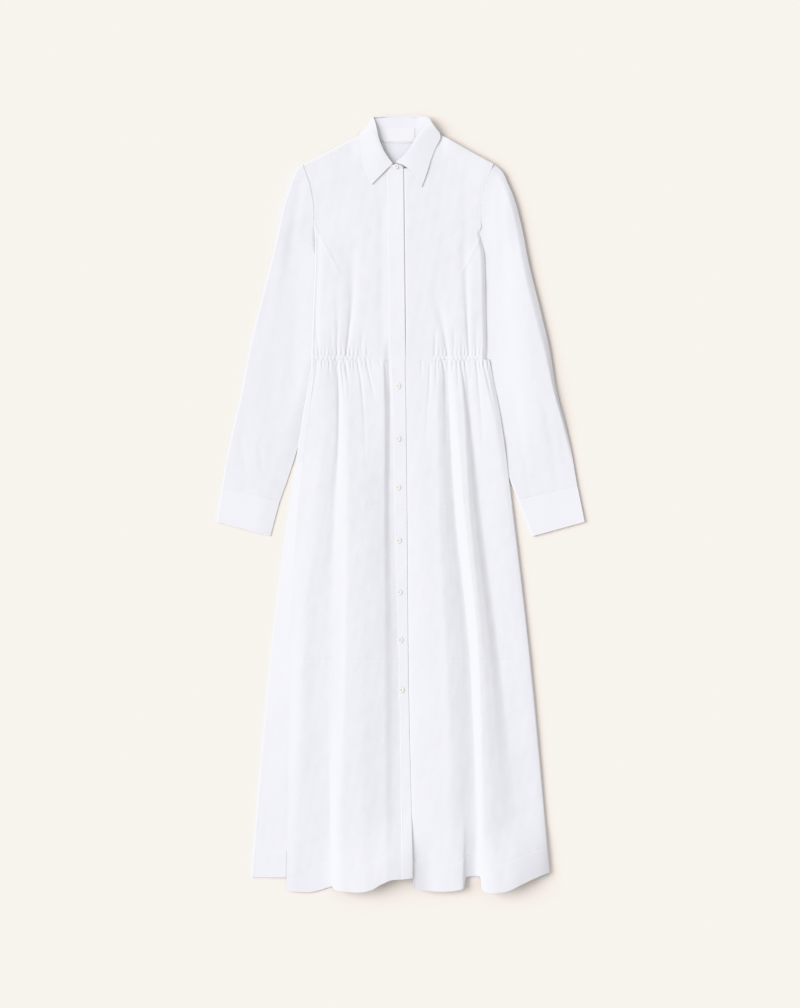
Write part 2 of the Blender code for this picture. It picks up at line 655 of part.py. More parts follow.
cloth("bodice_front_right", bodice_front_points(-1), poplin)
cloth("bodice_front_left", bodice_front_points(1), poplin)
cloth("bodice_back", bodice_back_points(), poplin)
cloth("bodice_band", bodice_band_points(), trim, wall=BAND_WALL)
for tier, tier_name in enumerate(("upper", "middle", "lower")):
    cloth("skirt_front_right_" + tier_name, skirt_front_points(RIGHT_SKIRT_FOLDS, tier), poplin)
    cloth("skirt_front_left_" + tier_name, skirt_front_points(LEFT_SKIRT_FOLDS, tier), poplin)
    cloth("skirt_back_" + tier_name, skirt_back_points(tier), poplin)
skirt_band = skirt_band_points()
cloth("skirt_band", skirt_band, trim, wall=BAND_WALL)
for side, side_name in ((-1, "right"), (1, "left")):
    cloth("sleeve_" + side_name, tube_points(side, SLEEVE_STATIONS, 20), poplin, ring=True)
    cloth("cuff_" + side_name, tube_points(side, CUFF_STATIONS, 20, CUFF_HEIGHT), poplin, ring=True)
leaf_shares = np.linspace(0, 1, 33)
cloth("collar_leaf", [leaf_row(share) for share in leaf_shares], poplin, offset=0.0)
cloth("collar_stand", stand_points(leaf_shares), poplin, offset=0.0)
cloth("neck_label", label_points(), trim, wall=BAND_WALL)
for number, (x, y) in enumerate(SKIRT_BUTTONS, 1):
    band_height = pchip(skirt_band[:, 1, 1], skirt_band[:, 1, 2], y)
    button(f"skirt_button_{number}", x, y, float(band_height) + BUTTON_CLEARANCE, pearl)
button("neck_button", *NECK_BUTTON, NECK_BUTTON_HEIGHT, pearl, NECK_BUTTON_RADIUS)
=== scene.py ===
# %% [markdown]
# # A long shirt dress in white poplin, laid flat
# The dress has a collar on a stand, a button front, set-in sleeves with cuffs, an elastic waist and a
# skirt in three tiers.  It lies on its back panels on a pale floor.  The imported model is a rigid
# stand-in with the right outline and the main folds; this script dresses it in cloth that follows the
# same tables, with finer creases, seams, stitches, buttons and a woven finish.

import bmesh
import bpy
import numpy as np
from mathutils import Matrix, Vector
from mathutils.bvhtree import BVHTree


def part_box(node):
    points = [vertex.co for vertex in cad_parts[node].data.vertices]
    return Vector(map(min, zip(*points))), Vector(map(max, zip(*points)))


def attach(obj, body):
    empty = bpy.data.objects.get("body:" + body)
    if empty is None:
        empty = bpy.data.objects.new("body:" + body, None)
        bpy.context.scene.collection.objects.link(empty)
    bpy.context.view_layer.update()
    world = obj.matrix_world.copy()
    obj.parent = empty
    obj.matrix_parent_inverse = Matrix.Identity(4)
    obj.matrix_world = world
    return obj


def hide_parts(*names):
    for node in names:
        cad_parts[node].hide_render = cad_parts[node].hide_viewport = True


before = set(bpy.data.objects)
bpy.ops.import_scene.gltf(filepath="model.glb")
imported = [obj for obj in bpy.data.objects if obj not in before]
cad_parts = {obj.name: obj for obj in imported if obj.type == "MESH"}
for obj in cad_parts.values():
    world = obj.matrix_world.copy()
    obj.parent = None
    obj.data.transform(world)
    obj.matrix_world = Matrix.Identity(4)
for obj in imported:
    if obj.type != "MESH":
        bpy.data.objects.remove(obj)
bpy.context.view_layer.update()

MM = 0.001

# %% [markdown]
# ## Camera, floor and light
# A garment that is laid out flat is looked at from straight above, from far enough away that its edges
# stay straight.  The floor is plain and pale.  One wide lamp stands low on the left, so that every fold
# has a light and a dark side, and an even white surround fills the shadows.

# %% Camera
CAMERA_HEIGHT = 6.0
PICTURE_HEIGHT = 1.8184  # of floor that fills the picture from top to bottom
PICTURE_CENTRE = (-0.0009, -0.0009)

camera_data = bpy.data.cameras.new("camera")
camera_data.sensor_width = 36.0
camera_data.lens = 36.0 * CAMERA_HEIGHT / PICTURE_HEIGHT
camera = bpy.data.objects.new("camera", camera_data)
camera.location = (*PICTURE_CENTRE, CAMERA_HEIGHT)
bpy.context.scene.collection.objects.link(camera)
bpy.context.scene.camera = camera
print("lens", round(camera_data.lens, 1), "mm")

# %% Response of the film: whites are held back before they burn out
SHOULDERS = (  # red, green, blue: light that arrives, light that is shown
    ((0.0, 0.0), (0.80, 0.80), (0.90, 0.897), (0.95, 0.924), (1.02, 0.938), (1.2, 0.946), (2.0, 0.952)),
    ((0.0, 0.0), (0.80, 0.80), (0.90, 0.897), (0.95, 0.926), (1.02, 0.942), (1.2, 0.951), (2.0, 0.957)),
    ((0.0, 0.0), (0.84, 0.84), (0.94, 0.937), (0.99, 0.964), (1.06, 0.980), (1.24, 0.989), (2.0, 0.995)),
)
look = bpy.context.scene.view_settings
look.view_transform = "Standard"
look.use_curve_mapping = True
look.curve_mapping.clip_max_x = 2.0
look.curve_mapping.extend = "HORIZONTAL"
for curve, shoulder in zip(look.curve_mapping.curves, SHOULDERS):
    curve.points[1].location = shoulder[-1]
    for at, shown in shoulder[1:-1]:
        curve.points.new(at, shown)
look.curve_mapping.update()


# %% Making an object and a finish
def placed(name, bm, finish=None, smooth=True):
    """An object of the scene from a bmesh, which is used up."""
    for face in bm.faces:
        face.smooth = smooth
    mesh = bpy.data.meshes.new(name)
    bm.to_mesh(mesh)
    bm.free()
    if finish:
        mesh.materials.append(finish)
    made = bpy.data.objects.new(name, mesh)
    bpy.context.scene.collection.objects.link(made)
    return made


def feed(tree, node, inputs):
    """Fill a node's inputs, by name or number: a socket is linked and a value is set."""
    for name, value in inputs.items():
        if isinstance(value, bpy.types.NodeSocket):
            tree.links.new(value, node.inputs[name])
        else:
            node.inputs[name].default_value = value


def new_finish(name, inputs):
    """A material, its node tree and its Principled shader with some inputs filled."""
    finish = bpy.data.materials.new(name)
    finish.use_nodes = True
    shader = finish.node_tree.nodes["Principled BSDF"]
    feed(finish.node_tree, shader, inputs)
    return finish, finish.node_tree, shader

# %% Floor
FLOOR_LEVEL = -0.0002  # just under the cloth

floor_finish, _, _ = new_finish(
    "pale floor",
    {"Base Color": (0.846, 0.781, 0.730, 1.0), "Roughness": 1.0, "Specular IOR Level": 0.0},
)
bm = bmesh.new()
bmesh.ops.create_grid(bm, x_segments=1, y_segments=1, size=30.0)
bmesh.ops.translate(bm, verts=bm.verts, vec=(0, 0, FLOOR_LEVEL))
floor = placed("floor", bm, floor_finish, smooth=False)
print("floor at", FLOOR_LEVEL / MM, "mm")

# %% Surround and lamp
surround = bpy.data.worlds.new("surround")
surround.use_nodes = True
sky = surround.node_tree.nodes["Background"]
feed(surround.node_tree, sky, {"Color": (1.008, 1.0, 0.980, 1.0), "Strength": 0.655})
bpy.context.scene.world = surround

lamp_data = bpy.data.lights.new("wide lamp", "SUN")
lamp_data.energy = 2.8
lamp_data.color = (0.990, 1.0, 1.038)
lamp_data.angle = np.radians(44)
lamp = bpy.data.objects.new("wide lamp", lamp_data)
towards_lamp = Vector((-0.80, 0.17, 0.575)).normalized()
lamp.rotation_mode = "QUATERNION"
lamp.rotation_quaternion = towards_lamp.to_track_quat("Z", "Y")
bpy.context.scene.collection.objects.link(lamp)
print("the lamp stands", round(np.degrees(np.arcsin(towards_lamp.z))), "degrees above the floor")

# %% [markdown]
# ## The cut and the lie of the dress
# Every piece comes from short tables: the sides of the body, the armholes, the sleeves station by
# station, the folds of the skirt line by line.  All are in millimetres: +X is the wearer's left, +Y runs
# from hem to collar, +Z is up.

# %% Heights of the layers and levels of the seams
STACK = 1.7  # top of a front that lies on a back with hardly any air between
TUCKED_HEIGHT = 2.2  # a sleeve under the body
SLEEVE_AT_BODY = {-1: 3.8, 1: 3.2}  # a sleeve just outside the body's side
CAP_HEIGHT = {-1: 6.0, 1: 10.0}  # a sleeve at the shoulder
TUCK_LIFT = 2.4  # what the body rises over a tucked sleeve
BODICE_RISE = 4.0
FRONT_LIFT = {-1: 1.9, 1: 1.5}
COLLAR_LIFT = 1.6

WAIST = 260.0
THIGH_SEAM = -3.0
KNEE_SEAM = -282.0
HIP = 160.0
SHOULDER_TIP = 612.0
ARMPIT = 495.0
BACK_HEM = -674.0
VENT_TOP = -625.0
HEM_DEPTH = 49.0

POPLIN_WALL = 0.7
BAND_THICKNESS = 0.6

# y, side of the body on the wearer's right, side on the wearer's left
BODY_SIDES = (
    (-695, -271, 269),
    (-282, -235, 230),
    (-3, -200, 198),
    (160, -176, 170),
    (260, -160, 155),
    (313, -158, 152),
    (367, -156, 151),
    (439, -153, 149),
    (495, -154, 143),
)

# y, armhole on the wearer's right, armhole on the wearer's left
ARMHOLES = (
    (495, -155, 145),
    (529, -156, 146),
    (566, -161, 152),
    (593, -169, 160),
    (612, -176, 168),
)

# Half of the front's upper edge from the centre to the shoulder tip: share of the width, x, y
NECK_AND_SHOULDER = (
    (0.00, -3, 603),
    (0.12, 23, 605),
    (0.24, 37, 620),
    (0.38, 51, 641),
    (0.54, 65, 667),
    (0.66, 86, 658),
    (0.80, 124, 637),
    (0.93, 158, 619),
    (1.00, 172, 612),
)

# Stations of a sleeve from armhole to cuff end: outer x, outer y, inner x, inner y
RIGHT_SLEEVE = (
    (-177, 612, -153, 495),
    (-188, 602, -150, 481),
    (-198, 576, -149, 463),
    (-208, 546, -145, 441),
    (-220, 495, -127, 410),
    (-235, 428, -115, 373),
    (-253, 358, -116, 322),
    (-272, 281, -136, 255),
    (-287, 201, -161, 179),
    (-303, 131, -185, 102),
    (-315, 73, -203, 46),
    (-322, 30, -218, 3),
    (-332, -33, -235, -59),
)
LEFT_SLEEVE = (
    (169, 612, 143, 495),
    (180, 600, 141, 481),
    (191, 576, 141, 463),
    (203, 546, 138, 441),
    (216, 495, 120, 410),
    (230, 428, 109, 373),
    (248, 358, 113, 322),
    (267, 281, 133, 255),
    (281, 201, 158, 179),
    (299, 131, 179, 102),
    (311, 73, 196, 46),
    (319, 30, 212, 5),
    (332, -33, 238, -59),
)
CUFF_SEAM = 11.0  # the station where the cuff starts
SIDES = ((-1, "right"), (1, "left"))  # of the wearer
SLEEVES = {-1: np.array(RIGHT_SLEEVE, float), 1: np.array(LEFT_SLEEVE, float)}
print(len(BODY_SIDES), "levels of the body,", len(RIGHT_SLEEVE), "stations of each sleeve")


# %% Smooth curves through a table
def pchip(keys, values, at):
    """Monotone cubic interpolation: smooth, and never past its own keys."""
    keys = np.asarray(keys, float)
    values = np.asarray(values, float)
    at = np.clip(at, keys[0], keys[-1])
    steps = np.diff(keys)
    slopes = np.diff(values) / steps
    tangents = np.zeros_like(values)
    tangents[0] = slopes[0]
    tangents[-1] = slopes[-1]
    turning = slopes[:-1] * slopes[1:] > 0
    before = 2 * steps[1:] + steps[:-1]
    after = steps[1:] + 2 * steps[:-1]
    safe = np.where(turning, slopes[:-1], 1.0), np.where(turning, slopes[1:], 1.0)
    blended = (before + after) / (before / safe[0] + after / safe[1])
    tangents[1:-1] = np.where(turning, blended, 0.0)
    cell = np.clip(np.searchsorted(keys, at, side="right") - 1, 0, len(keys) - 2)
    t = (at - keys[cell]) / steps[cell]
    return (
        (1 + 2 * t) * (1 - t) ** 2 * values[cell]
        + t * (1 - t) ** 2 * steps[cell] * tangents[cell]
        + t**2 * (3 - 2 * t) * values[cell + 1]
        + t**2 * (t - 1) * steps[cell] * tangents[cell + 1]
    )


def ease(share):
    """0 before 0, 1 after 1, and a smooth rise between."""
    share = np.clip(share, 0.0, 1.0)
    return share * share * (3 - 2 * share)


def rounded(distance, reach, power=2.4):
    """0 at an edge, 1 from `reach` inwards, round like the side of a cushion between."""
    t = np.clip(distance / reach, 0.0, 1.0)
    return (1 - (1 - t) ** power) ** (1 / power)


def bevel(distance, reach, power=1.3):
    """0 at an edge, 1 from `reach` inwards, nearly straight between."""
    return 1 - (1 - np.clip(distance / reach, 0.0, 1.0)) ** power


def spaced(length, spacing, near_start=(), near_end=()):
    """Distances from 0 to length, evenly spaced in the middle and closer near the ends."""
    start = [d for d in near_start if d < length / 3]
    end = [length - d for d in near_end if d < length / 3]
    first = start[-1] + spacing if start else 0.0
    last = min(end) - spacing if end else length
    steps = max(2, int(round((last - first) / spacing)) + 1)
    return np.array(sorted({*start, *np.linspace(first, last, steps).tolist(), *end}))


# %% The body's outline and what lies under it
def outline(table, y, side):
    """x of one side of a table (y, x on the right, x on the left) at height y."""
    rows = np.array(table, float)
    return pchip(rows[:, 0], rows[:, 1 if side < 0 else 2], y)


def body_side(y, side):
    """Distance of the body's side from the middle, at height y."""
    return np.abs(outline(BODY_SIDES, y, side))


def tucked_edge(y, side):
    """Distance of the hidden inner edge of a sleeve from the middle."""
    rows = SLEEVES[side][3:12][::-1]
    return np.abs(pchip(rows[:, 3], rows[:, 2], y))


def by_side(x, value):
    """value(side) for the side that each x is on."""
    return np.where(x < 0, value(-1), value(1))


def over_collar(x, y):
    """1 where the back of the collar lies under the bodice, 0 away from it."""
    return ease((y - 600) / 40) * (1 - ease((np.abs(x) - 68) / 24))


def base(x, y):
    """Height of the underside of the back: flat on the floor, over the tucked sleeves and the collar."""
    x = np.asarray(x, float)
    y = np.broadcast_to(np.asarray(y, float), x.shape)
    edge = by_side(x, lambda side: tucked_edge(y, side))
    body = by_side(x, lambda side: body_side(y, side))
    at_side = by_side(x, SLEEVE_AT_BODY.get) + 0.2
    lift = TUCK_LIFT + (at_side - TUCK_LIFT) * ease((np.abs(x) - body + 14) / 12)
    over_sleeve = ease((np.abs(x) - edge + 28) / 18) * ease((510 - y) / 32) * ease((y - 56) / 30)
    return lift * over_sleeve + COLLAR_LIFT * over_collar(x, y)


def front_base(x, y):
    """How far the fronts are lifted: less than the back, and more gently."""
    x = np.asarray(x, float)
    y = np.broadcast_to(np.asarray(y, float), x.shape)
    edge = by_side(x, lambda side: tucked_edge(y, side))
    over_sleeve = ease((np.abs(x) - edge + 60) / 80) * ease((510 - y) / 60) * ease((y - 40) / 60)
    return by_side(x, FRONT_LIFT.get) * over_sleeve + COLLAR_LIFT * over_collar(x, y)


print("the back rises", round(float(base(-130.0, 300.0)), 1), "mm over a tucked sleeve")

# %% [markdown]
# ## Creases
# Pressed cotton is never quite flat.  A crease is a soft trough along a line that starts at the seam
# that holds it and fades away from it.  A row of the tables gives the line by three points, how deep it
# is, how wide it is at the seam and at its far end, and how deep it still is at the far end.  Long
# shallow waves over the whole cloth keep it from looking like card.

# %% Creases held by the waist seam
# x, y at the seam; x, y in the middle; x, y at the far end; depth; width at seam, at end; share left
RIGHT_WAIST_CREASES = (
    (-150.6, 257.1, -152.4, 231.8, -170.5, 154.2, 0.7, 2.4, 5, 0.2),
    (-139.8, 257.1, -138.9, 246.2, -136.2, 230, 0.5, 1.6, 2.4, 0),
    (-129, 257.1, -128.1, 240.8, -127.2, 215.6, 0.5, 1.6, 3, 0),
    (-116.4, 257.1, -115.8, 244.4, -114.6, 222.8, 0.9, 1.6, 2, 0),
    (-111.7, 257.1, -110.9, 204.8, -111.8, 114.6, 1.1, 2, 3, 0.5),
    (-108.2, 257.1, -103.7, 222.8, -100.1, 172.3, 0.8, 1.6, 2.4, 0),
    (-101, 257.1, -96.5, 237.2, -92.9, 208.4, 1.4, 2.6, 2.4, 0.2),
    (-85.7, 257.1, -83, 242.6, -80.3, 228.2, 0.4, 1.6, 2, 0),
    (-78.5, 257.1, -71.3, 222.8, -64, 132.6, 1.1, 2, 3, 0.4),
    (-61.3, 257.1, -55.9, 230, -42.4, 170.5, 1, 1.7, 2.2, 0),
    (-53.2, 257.1, -51.4, 244.4, -48.7, 228.2, 0.5, 1.6, 2, 0),
    (-38.8, 257.1, -37, 249.9, -35.2, 239, 0.5, 2.6, 3, 0),
    (-28, 251.7, -25.8, 213.8, -25.3, 132.6, 0.9, 2.4, 4, 0.3),
)
LEFT_WAIST_CREASES = (
    (37.9, 257.1, 38.4, 240.8, 37, 219.2, 0.6, 1.8, 2.2, 0),
    (47.8, 257.1, 47.8, 244.4, 48.7, 233.6, 0.3, 1.6, 2, 0),
    (52.9, 250.2, 52, 213.8, 46.9, 141.6, 0.9, 1.8, 3, 0.3),
    (58.6, 257.1, 58.6, 251.7, 58.6, 242.6, 0.4, 1.4, 1.6, 0),
    (64.9, 257.1, 64.6, 237.2, 64.9, 190.3, 0.8, 1.8, 3, 0),
    (74.9, 257.1, 79.9, 233.6, 81.7, 141.6, 1.2, 2, 3, 0.4),
    (88.4, 257.1, 89.3, 231.8, 89.3, 192.1, 0.4, 1.6, 2, 0),
    (93.4, 257.1, 93.6, 237.2, 92.9, 215.6, 0.5, 1.4, 1.8, 0),
    (101.9, 257.1, 103.7, 222.8, 109.1, 174.1, 0.6, 1.7, 2.4, 0),
    (108.8, 254.7, 114.6, 219.2, 124.5, 136.2, 1.3, 1.8, 3, 0.4),
    (114.6, 257.1, 116.4, 248.1, 119.1, 230, 0.4, 1.8, 2, 0),
    (126.3, 257.1, 127.7, 242.6, 125.4, 222.8, 0.8, 1.6, 1.8, 0),
    (137.1, 257.1, 140.7, 213.8, 147.9, 136.2, 1.1, 2, 3, 0.4),
    (141.3, 257.1, 144.3, 246.2, 149.2, 228.2, 0.8, 1.6, 1.8, 0),
    (149.7, 253.9, 158.8, 213.8, 173.2, 147, 1.4, 2, 2.6, 0),
)
RIGHT_BODICE_CREASES = (
    (-146.1, 267.5, -151.5, 313, -154.2, 376.1, 0.6, 2, 3.5, 0),
    (-123.6, 267.5, -124.5, 295, -125.4, 325.6, 0.6, 1.7, 3, 0),
    (-114.6, 267.5, -113.1, 331, -116.4, 412.2, 1, 2.2, 8, 0),
    (-107.7, 267.5, -106.4, 289.5, -104.6, 307.6, 0.4, 1.5, 2.4, 0),
    (-97.4, 267.5, -87.5, 358.1, -83, 448.3, 1.6, 2.2, 8, 0.3),
    (-90.6, 266.8, -91.1, 280.5, -91.6, 293.2, 0.9, 1.5, 2, 0),
    (-72.2, 267.5, -70.4, 289.5, -66.2, 322, 0.8, 1.8, 4, 0),
    (-58.6, 267.9, -59.5, 276.9, -60.4, 287.7, 0.5, 1.4, 2, 0),
)
LEFT_BODICE_CREASES = (
    (61.3, 266.8, 62.8, 295, 63, 327.4, 0.9, 1.7, 3, 0),
    (84.8, 267.5, 76.7, 322, 65.8, 385.2, 1.2, 2.2, 10, 0.3),
    (90.2, 267.5, 90.2, 282.3, 91.1, 293.2, 0.4, 1.4, 2, 0),
    (97.1, 267.5, 96.5, 295, 96.5, 334.6, 0.7, 1.6, 4, 0),
    (104.6, 267.5, 104.6, 282.3, 104.6, 298.6, 0.3, 1.4, 2, 0),
    (110.9, 266.8, 110.9, 285.9, 110.9, 309.4, 0.6, 1.5, 3, 0),
    (123.6, 267.5, 120, 349.1, 116.4, 502.4, 1.5, 2.2, 8, 0.3),
    (137.1, 267.5, 136.2, 313, 137.1, 370.7, 0.6, 2, 7, 0),
)


WAIST_CREASES = {-1: RIGHT_WAIST_CREASES, 1: LEFT_WAIST_CREASES}
BODICE_CREASES = {-1: RIGHT_BODICE_CREASES, 1: LEFT_BODICE_CREASES}

# %% What a crease takes away, and what waves and ruching add
CREASE_SHARE = 0.7


def creased(x, y, creases):
    """Depth of all creases of a table at each point."""
    depth_here = np.zeros_like(x)
    for x0, y0, x1, y1, x2, y2, depth, width_0, width_2, left_over in creases:
        along = (y - y0) / (y2 - y0)
        middle = (y1 - y0) / (y2 - y0)
        line = pchip((0, middle, 1), (x0, x1, x2), along)
        width = width_0 + (width_2 - width_0) * ease(along)
        strength = 1 - (1 - left_over) * ease((along - 0.25) / 0.75)
        strength = strength * (1 - ease((along - 1) / 0.6)) * ease(1 + along * abs(y2 - y0) / 5)
        depth_here += depth * strength * np.exp(-(((x - line) / width) ** 2))
    return CREASE_SHARE * depth_here


WAVES = (  # wave length, direction in degrees, phase, height
    (127, 12, 0.3, 0.16),
    (83, -31, 1.9, 0.12),
    (61, 74, 4.4, 0.10),
    (47, 3, 2.6, 0.08),
    (38, -58, 0.9, 0.06),
    (29, 38, 5.2, 0.045),
    (19, -11, 3.3, 0.03),
)


def waves(x, y, seed=0.0):
    """Long shallow unevenness of pressed cotton."""
    height = np.zeros_like(x)
    for length, direction, phase, amount in WAVES:
        turn = np.radians(direction)
        run = x * np.cos(turn) + y * np.sin(turn)
        height += amount * np.sin(2 * np.pi * run / length + phase + seed + 0.7 * np.sin(run / 71 + seed))
    return height


CASING_LINES = (257.5, 266.5)  # rows of elastic stitching


def elastic(x):
    """1 where the waist is elastic, 0 beside the button band."""
    return ease((x - 60) / 5) + ease((-57 - x) / 5)


def ruching(x, y):
    """Puffs of cloth between the rows of elastic stitching, and short gathers above and below."""
    puffs = np.zeros_like(x)
    for row, (low, high) in enumerate(zip(CASING_LINES, CASING_LINES[1:])):
        across = np.clip((y - low) / (high - low), 0, 1)
        wander = 0.9 * np.sin(x / 9.7 + row) + 0.6 * np.sin(x / 4.1 + 2 * row)
        wave = np.sin(2 * np.pi * x / 7.6 + wander)
        puffs += np.sin(np.pi * across) ** 2 * (0.2 + 0.28 * wave)
    outside = np.maximum(y - CASING_LINES[-1], CASING_LINES[0] - y)
    wander = 1.3 * np.sin(x / 23.0) + 0.8 * np.sin(x / 11.0 + 1)
    wave = 0.35 * np.sin(2 * np.pi * x / 7.3 + wander) + 0.2 * np.sin(2 * np.pi * x / 4.4 - wander)
    puffs += wave * np.where(outside > 0, (1 - ease(outside / 22)), 0) * ease(outside / 2.5)
    lines = np.zeros_like(x)
    for line in CASING_LINES:
        lines += np.exp(-(((y - line) / 1.0) ** 2))
    return elastic(x) * (puffs - 0.25 * lines)


def back_gathers(x, from_waist):
    """Small upright folds of the back panels, held by the elastic."""
    return 0.35 * (1 + np.sin(2 * np.pi * x / 8.2)) * (1 - ease(from_waist / 40)) * elastic(x)


print("crease tables:", *(len(table) for table in (*WAIST_CREASES.values(), *BODICE_CREASES.values())))

# %% [markdown]
# ## Finishes
# Poplin is a fine plain weave.  Its finish is built from three effects that every cloth piece shares,
# so each is a node group: the weave itself with its thicker yarns, the soft crumple that pressing
# leaves, and the slightly uneven white of washed cotton.  The weave follows the cloth, so it reads the
# piece's own UV map in metres; the other two read the object's coordinates.


# %% Node helpers
def add_node(tree, kind, inputs, **settings):
    """A node of a kind, with its settings made and its inputs filled."""
    node = tree.nodes.new("ShaderNode" + kind)
    for setting, value in settings.items():
        setattr(node, setting, value)
    feed(tree, node, inputs)
    return node


def maths(tree, operation, first, second=0.5):
    """The result of a Math node; a sine leaves the second number unused."""
    return add_node(tree, "Math", {0: first, 1: second}, operation=operation).outputs[0]


def new_group(name, inputs, outputs):
    """A shader node group with (name, kind) sockets: its tree, what it is given, its output node."""
    tree = bpy.data.node_groups.new(name, "ShaderNodeTree")
    for in_out, sockets in (("INPUT", inputs), ("OUTPUT", outputs)):
        for socket, kind in sockets:
            tree.interface.new_socket(name=socket, in_out=in_out, socket_type="NodeSocket" + kind)
    return tree, tree.nodes.new("NodeGroupInput").outputs, tree.nodes.new("NodeGroupOutput")

# %% The weave: warp over weft, with thicker yarns here and there
weave, given, result = new_group(
    "plain weave", [("Cloth", "Vector"), ("Threads per metre", "Float")], [("Height", "Float")]
)
split = add_node(weave, "SeparateXYZ", {0: given["Cloth"]})
turns_per_metre = maths(weave, "MULTIPLY", given["Threads per metre"], np.pi)
warp, weft = (
    maths(weave, "SINE", maths(weave, "MULTIPLY", split.outputs[axis], turns_per_metre)) for axis in "XY"
)
over_under = maths(weave, "MULTIPLY", maths(weave, "MULTIPLY", warp, weft), 0.25)
slubs = []
for stretch in ((900.0, 14.0, 1.0), (14.0, 900.0, 1.0)):
    stretched = add_node(weave, "VectorMath", {0: given["Cloth"], 1: stretch}, operation="MULTIPLY")
    yarn = add_node(weave, "TexNoise", {"Vector": stretched.outputs[0], "Scale": 1.0, "Detail": 2.0})
    slubs.append(yarn.outputs["Fac"])
feed(weave, result, {"Height": maths(weave, "ADD", over_under, maths(weave, "ADD", *slubs))})
print("weave:", len(weave.nodes), "nodes")

# %% Crumple and washed white
crumple, given, result = new_group(
    "pressed crumple", [("Place", "Vector"), ("Scale", "Float")], [("Height", "Float")]
)
folding = add_node(
    crumple, "TexNoise",
    {"Vector": given["Place"], "Scale": given["Scale"], "Detail": 3.0, "Roughness": 0.55},
)
feed(crumple, result, {"Height": folding.outputs["Fac"]})

washed, given, result = new_group(
    "washed white", [("Place", "Vector"), ("Bright", "Color"), ("Dull", "Color")], [("Colour", "Color")]
)
patches = add_node(washed, "TexNoise", {"Vector": given["Place"], "Scale": 14.0, "Detail": 4.0})
blend = add_node(
    washed, "Mix", {"Factor": patches.outputs["Fac"], "A": given["Bright"], "B": given["Dull"]},
    data_type="RGBA",
)
feed(washed, result, {"Colour": blend.outputs["Result"]})
print("shared effects:", [tree.name for tree in (weave, crumple, washed)])


# %% Cotton in its three weights
def object_place(tree):
    return add_node(tree, "TexCoord", {}).outputs["Object"]


def uneven_white(tree, place, bright, dull):
    """The colour of washed cotton or thread between two whites."""
    inputs = {"Place": place, "Bright": (*bright, 1.0), "Dull": (*dull, 1.0)}
    return add_node(tree, "Group", inputs, node_tree=washed).outputs["Colour"]


def cotton(name, bright, dull, threads, weave_depth, crumple_depth, roughness=0.82):
    """White cotton: woven bump, crumple and uneven white around one Principled shader."""
    finish, tree, shader = new_finish(
        name,
        {"Roughness": roughness, "Specular IOR Level": 0.25, "Sheen Weight": 0.06, "Sheen Roughness": 0.5},
    )
    place = object_place(tree)
    cloth_map = add_node(tree, "UVMap", {}, uv_map="cloth").outputs["UV"]
    soft = add_node(tree, "Group", {"Place": place, "Scale": 42.0}, node_tree=crumple)
    woven = add_node(tree, "Group", {"Cloth": cloth_map, "Threads per metre": threads}, node_tree=weave)
    normal = {}
    for effect, depth in ((soft, crumple_depth), (woven, weave_depth)):
        bump = {"Height": effect.outputs["Height"], "Distance": depth * MM, **normal}
        normal = {"Normal": add_node(tree, "Bump", bump).outputs["Normal"]}
    feed(tree, shader, {"Base Color": uneven_white(tree, place, bright, dull), **normal})
    return finish


poplin = cotton("white poplin", (0.752, 0.755, 0.796), (0.732, 0.734, 0.778), 3200, 0.03, 0.5)
band_cotton = cotton(
    "white interfaced poplin", (0.770, 0.773, 0.812), (0.754, 0.757, 0.797), 3200, 0.03, 0.25
)
label_satin = cotton(
    "bare label satin", (0.820, 0.815, 0.830), (0.805, 0.800, 0.815), 2200, 0.04, 0.1, roughness=0.5
)
print("cottons:", [finish.name for finish in (poplin, band_cotton, label_satin)])

# %% Sewing thread
thread, tree, thread_shader = new_finish("white sewing thread", {"Roughness": 0.6})
place = object_place(tree)
plies = add_node(tree, "TexWave", {"Vector": place, "Scale": 1800.0}, bands_direction="DIAGONAL")
twist = add_node(tree, "Bump", {"Height": plies.outputs["Fac"], "Distance": 0.05 * MM})
white = uneven_white(tree, place, (0.82, 0.82, 0.85), (0.76, 0.76, 0.80))
feed(tree, thread_shader, {"Base Color": white, "Normal": twist.outputs["Normal"]})
print("thread:", thread.name)

# %% [markdown]
# ## How a panel is made
# A panel starts as a flat grid.  Its points are moved to the lie of the cloth, row by row, and Solidify
# gives it its wall, so the outer face is exactly where it was placed.  The edges are marked sharp: a
# seam then reads as one cloth against another and not as a shaded roll.  A UV map carries the distance
# along and across the cloth in metres, which the weave follows.


# %% One panel of cloth
def arc_lengths(points, axis):
    """Distance along the cloth to each point, along the rows (1) or the columns (0)."""
    steps = np.linalg.norm(np.diff(points, axis=axis), axis=2)
    start = np.zeros_like(steps.take([0], axis))
    return np.concatenate((start, np.cumsum(steps, axis=axis)), axis=axis)


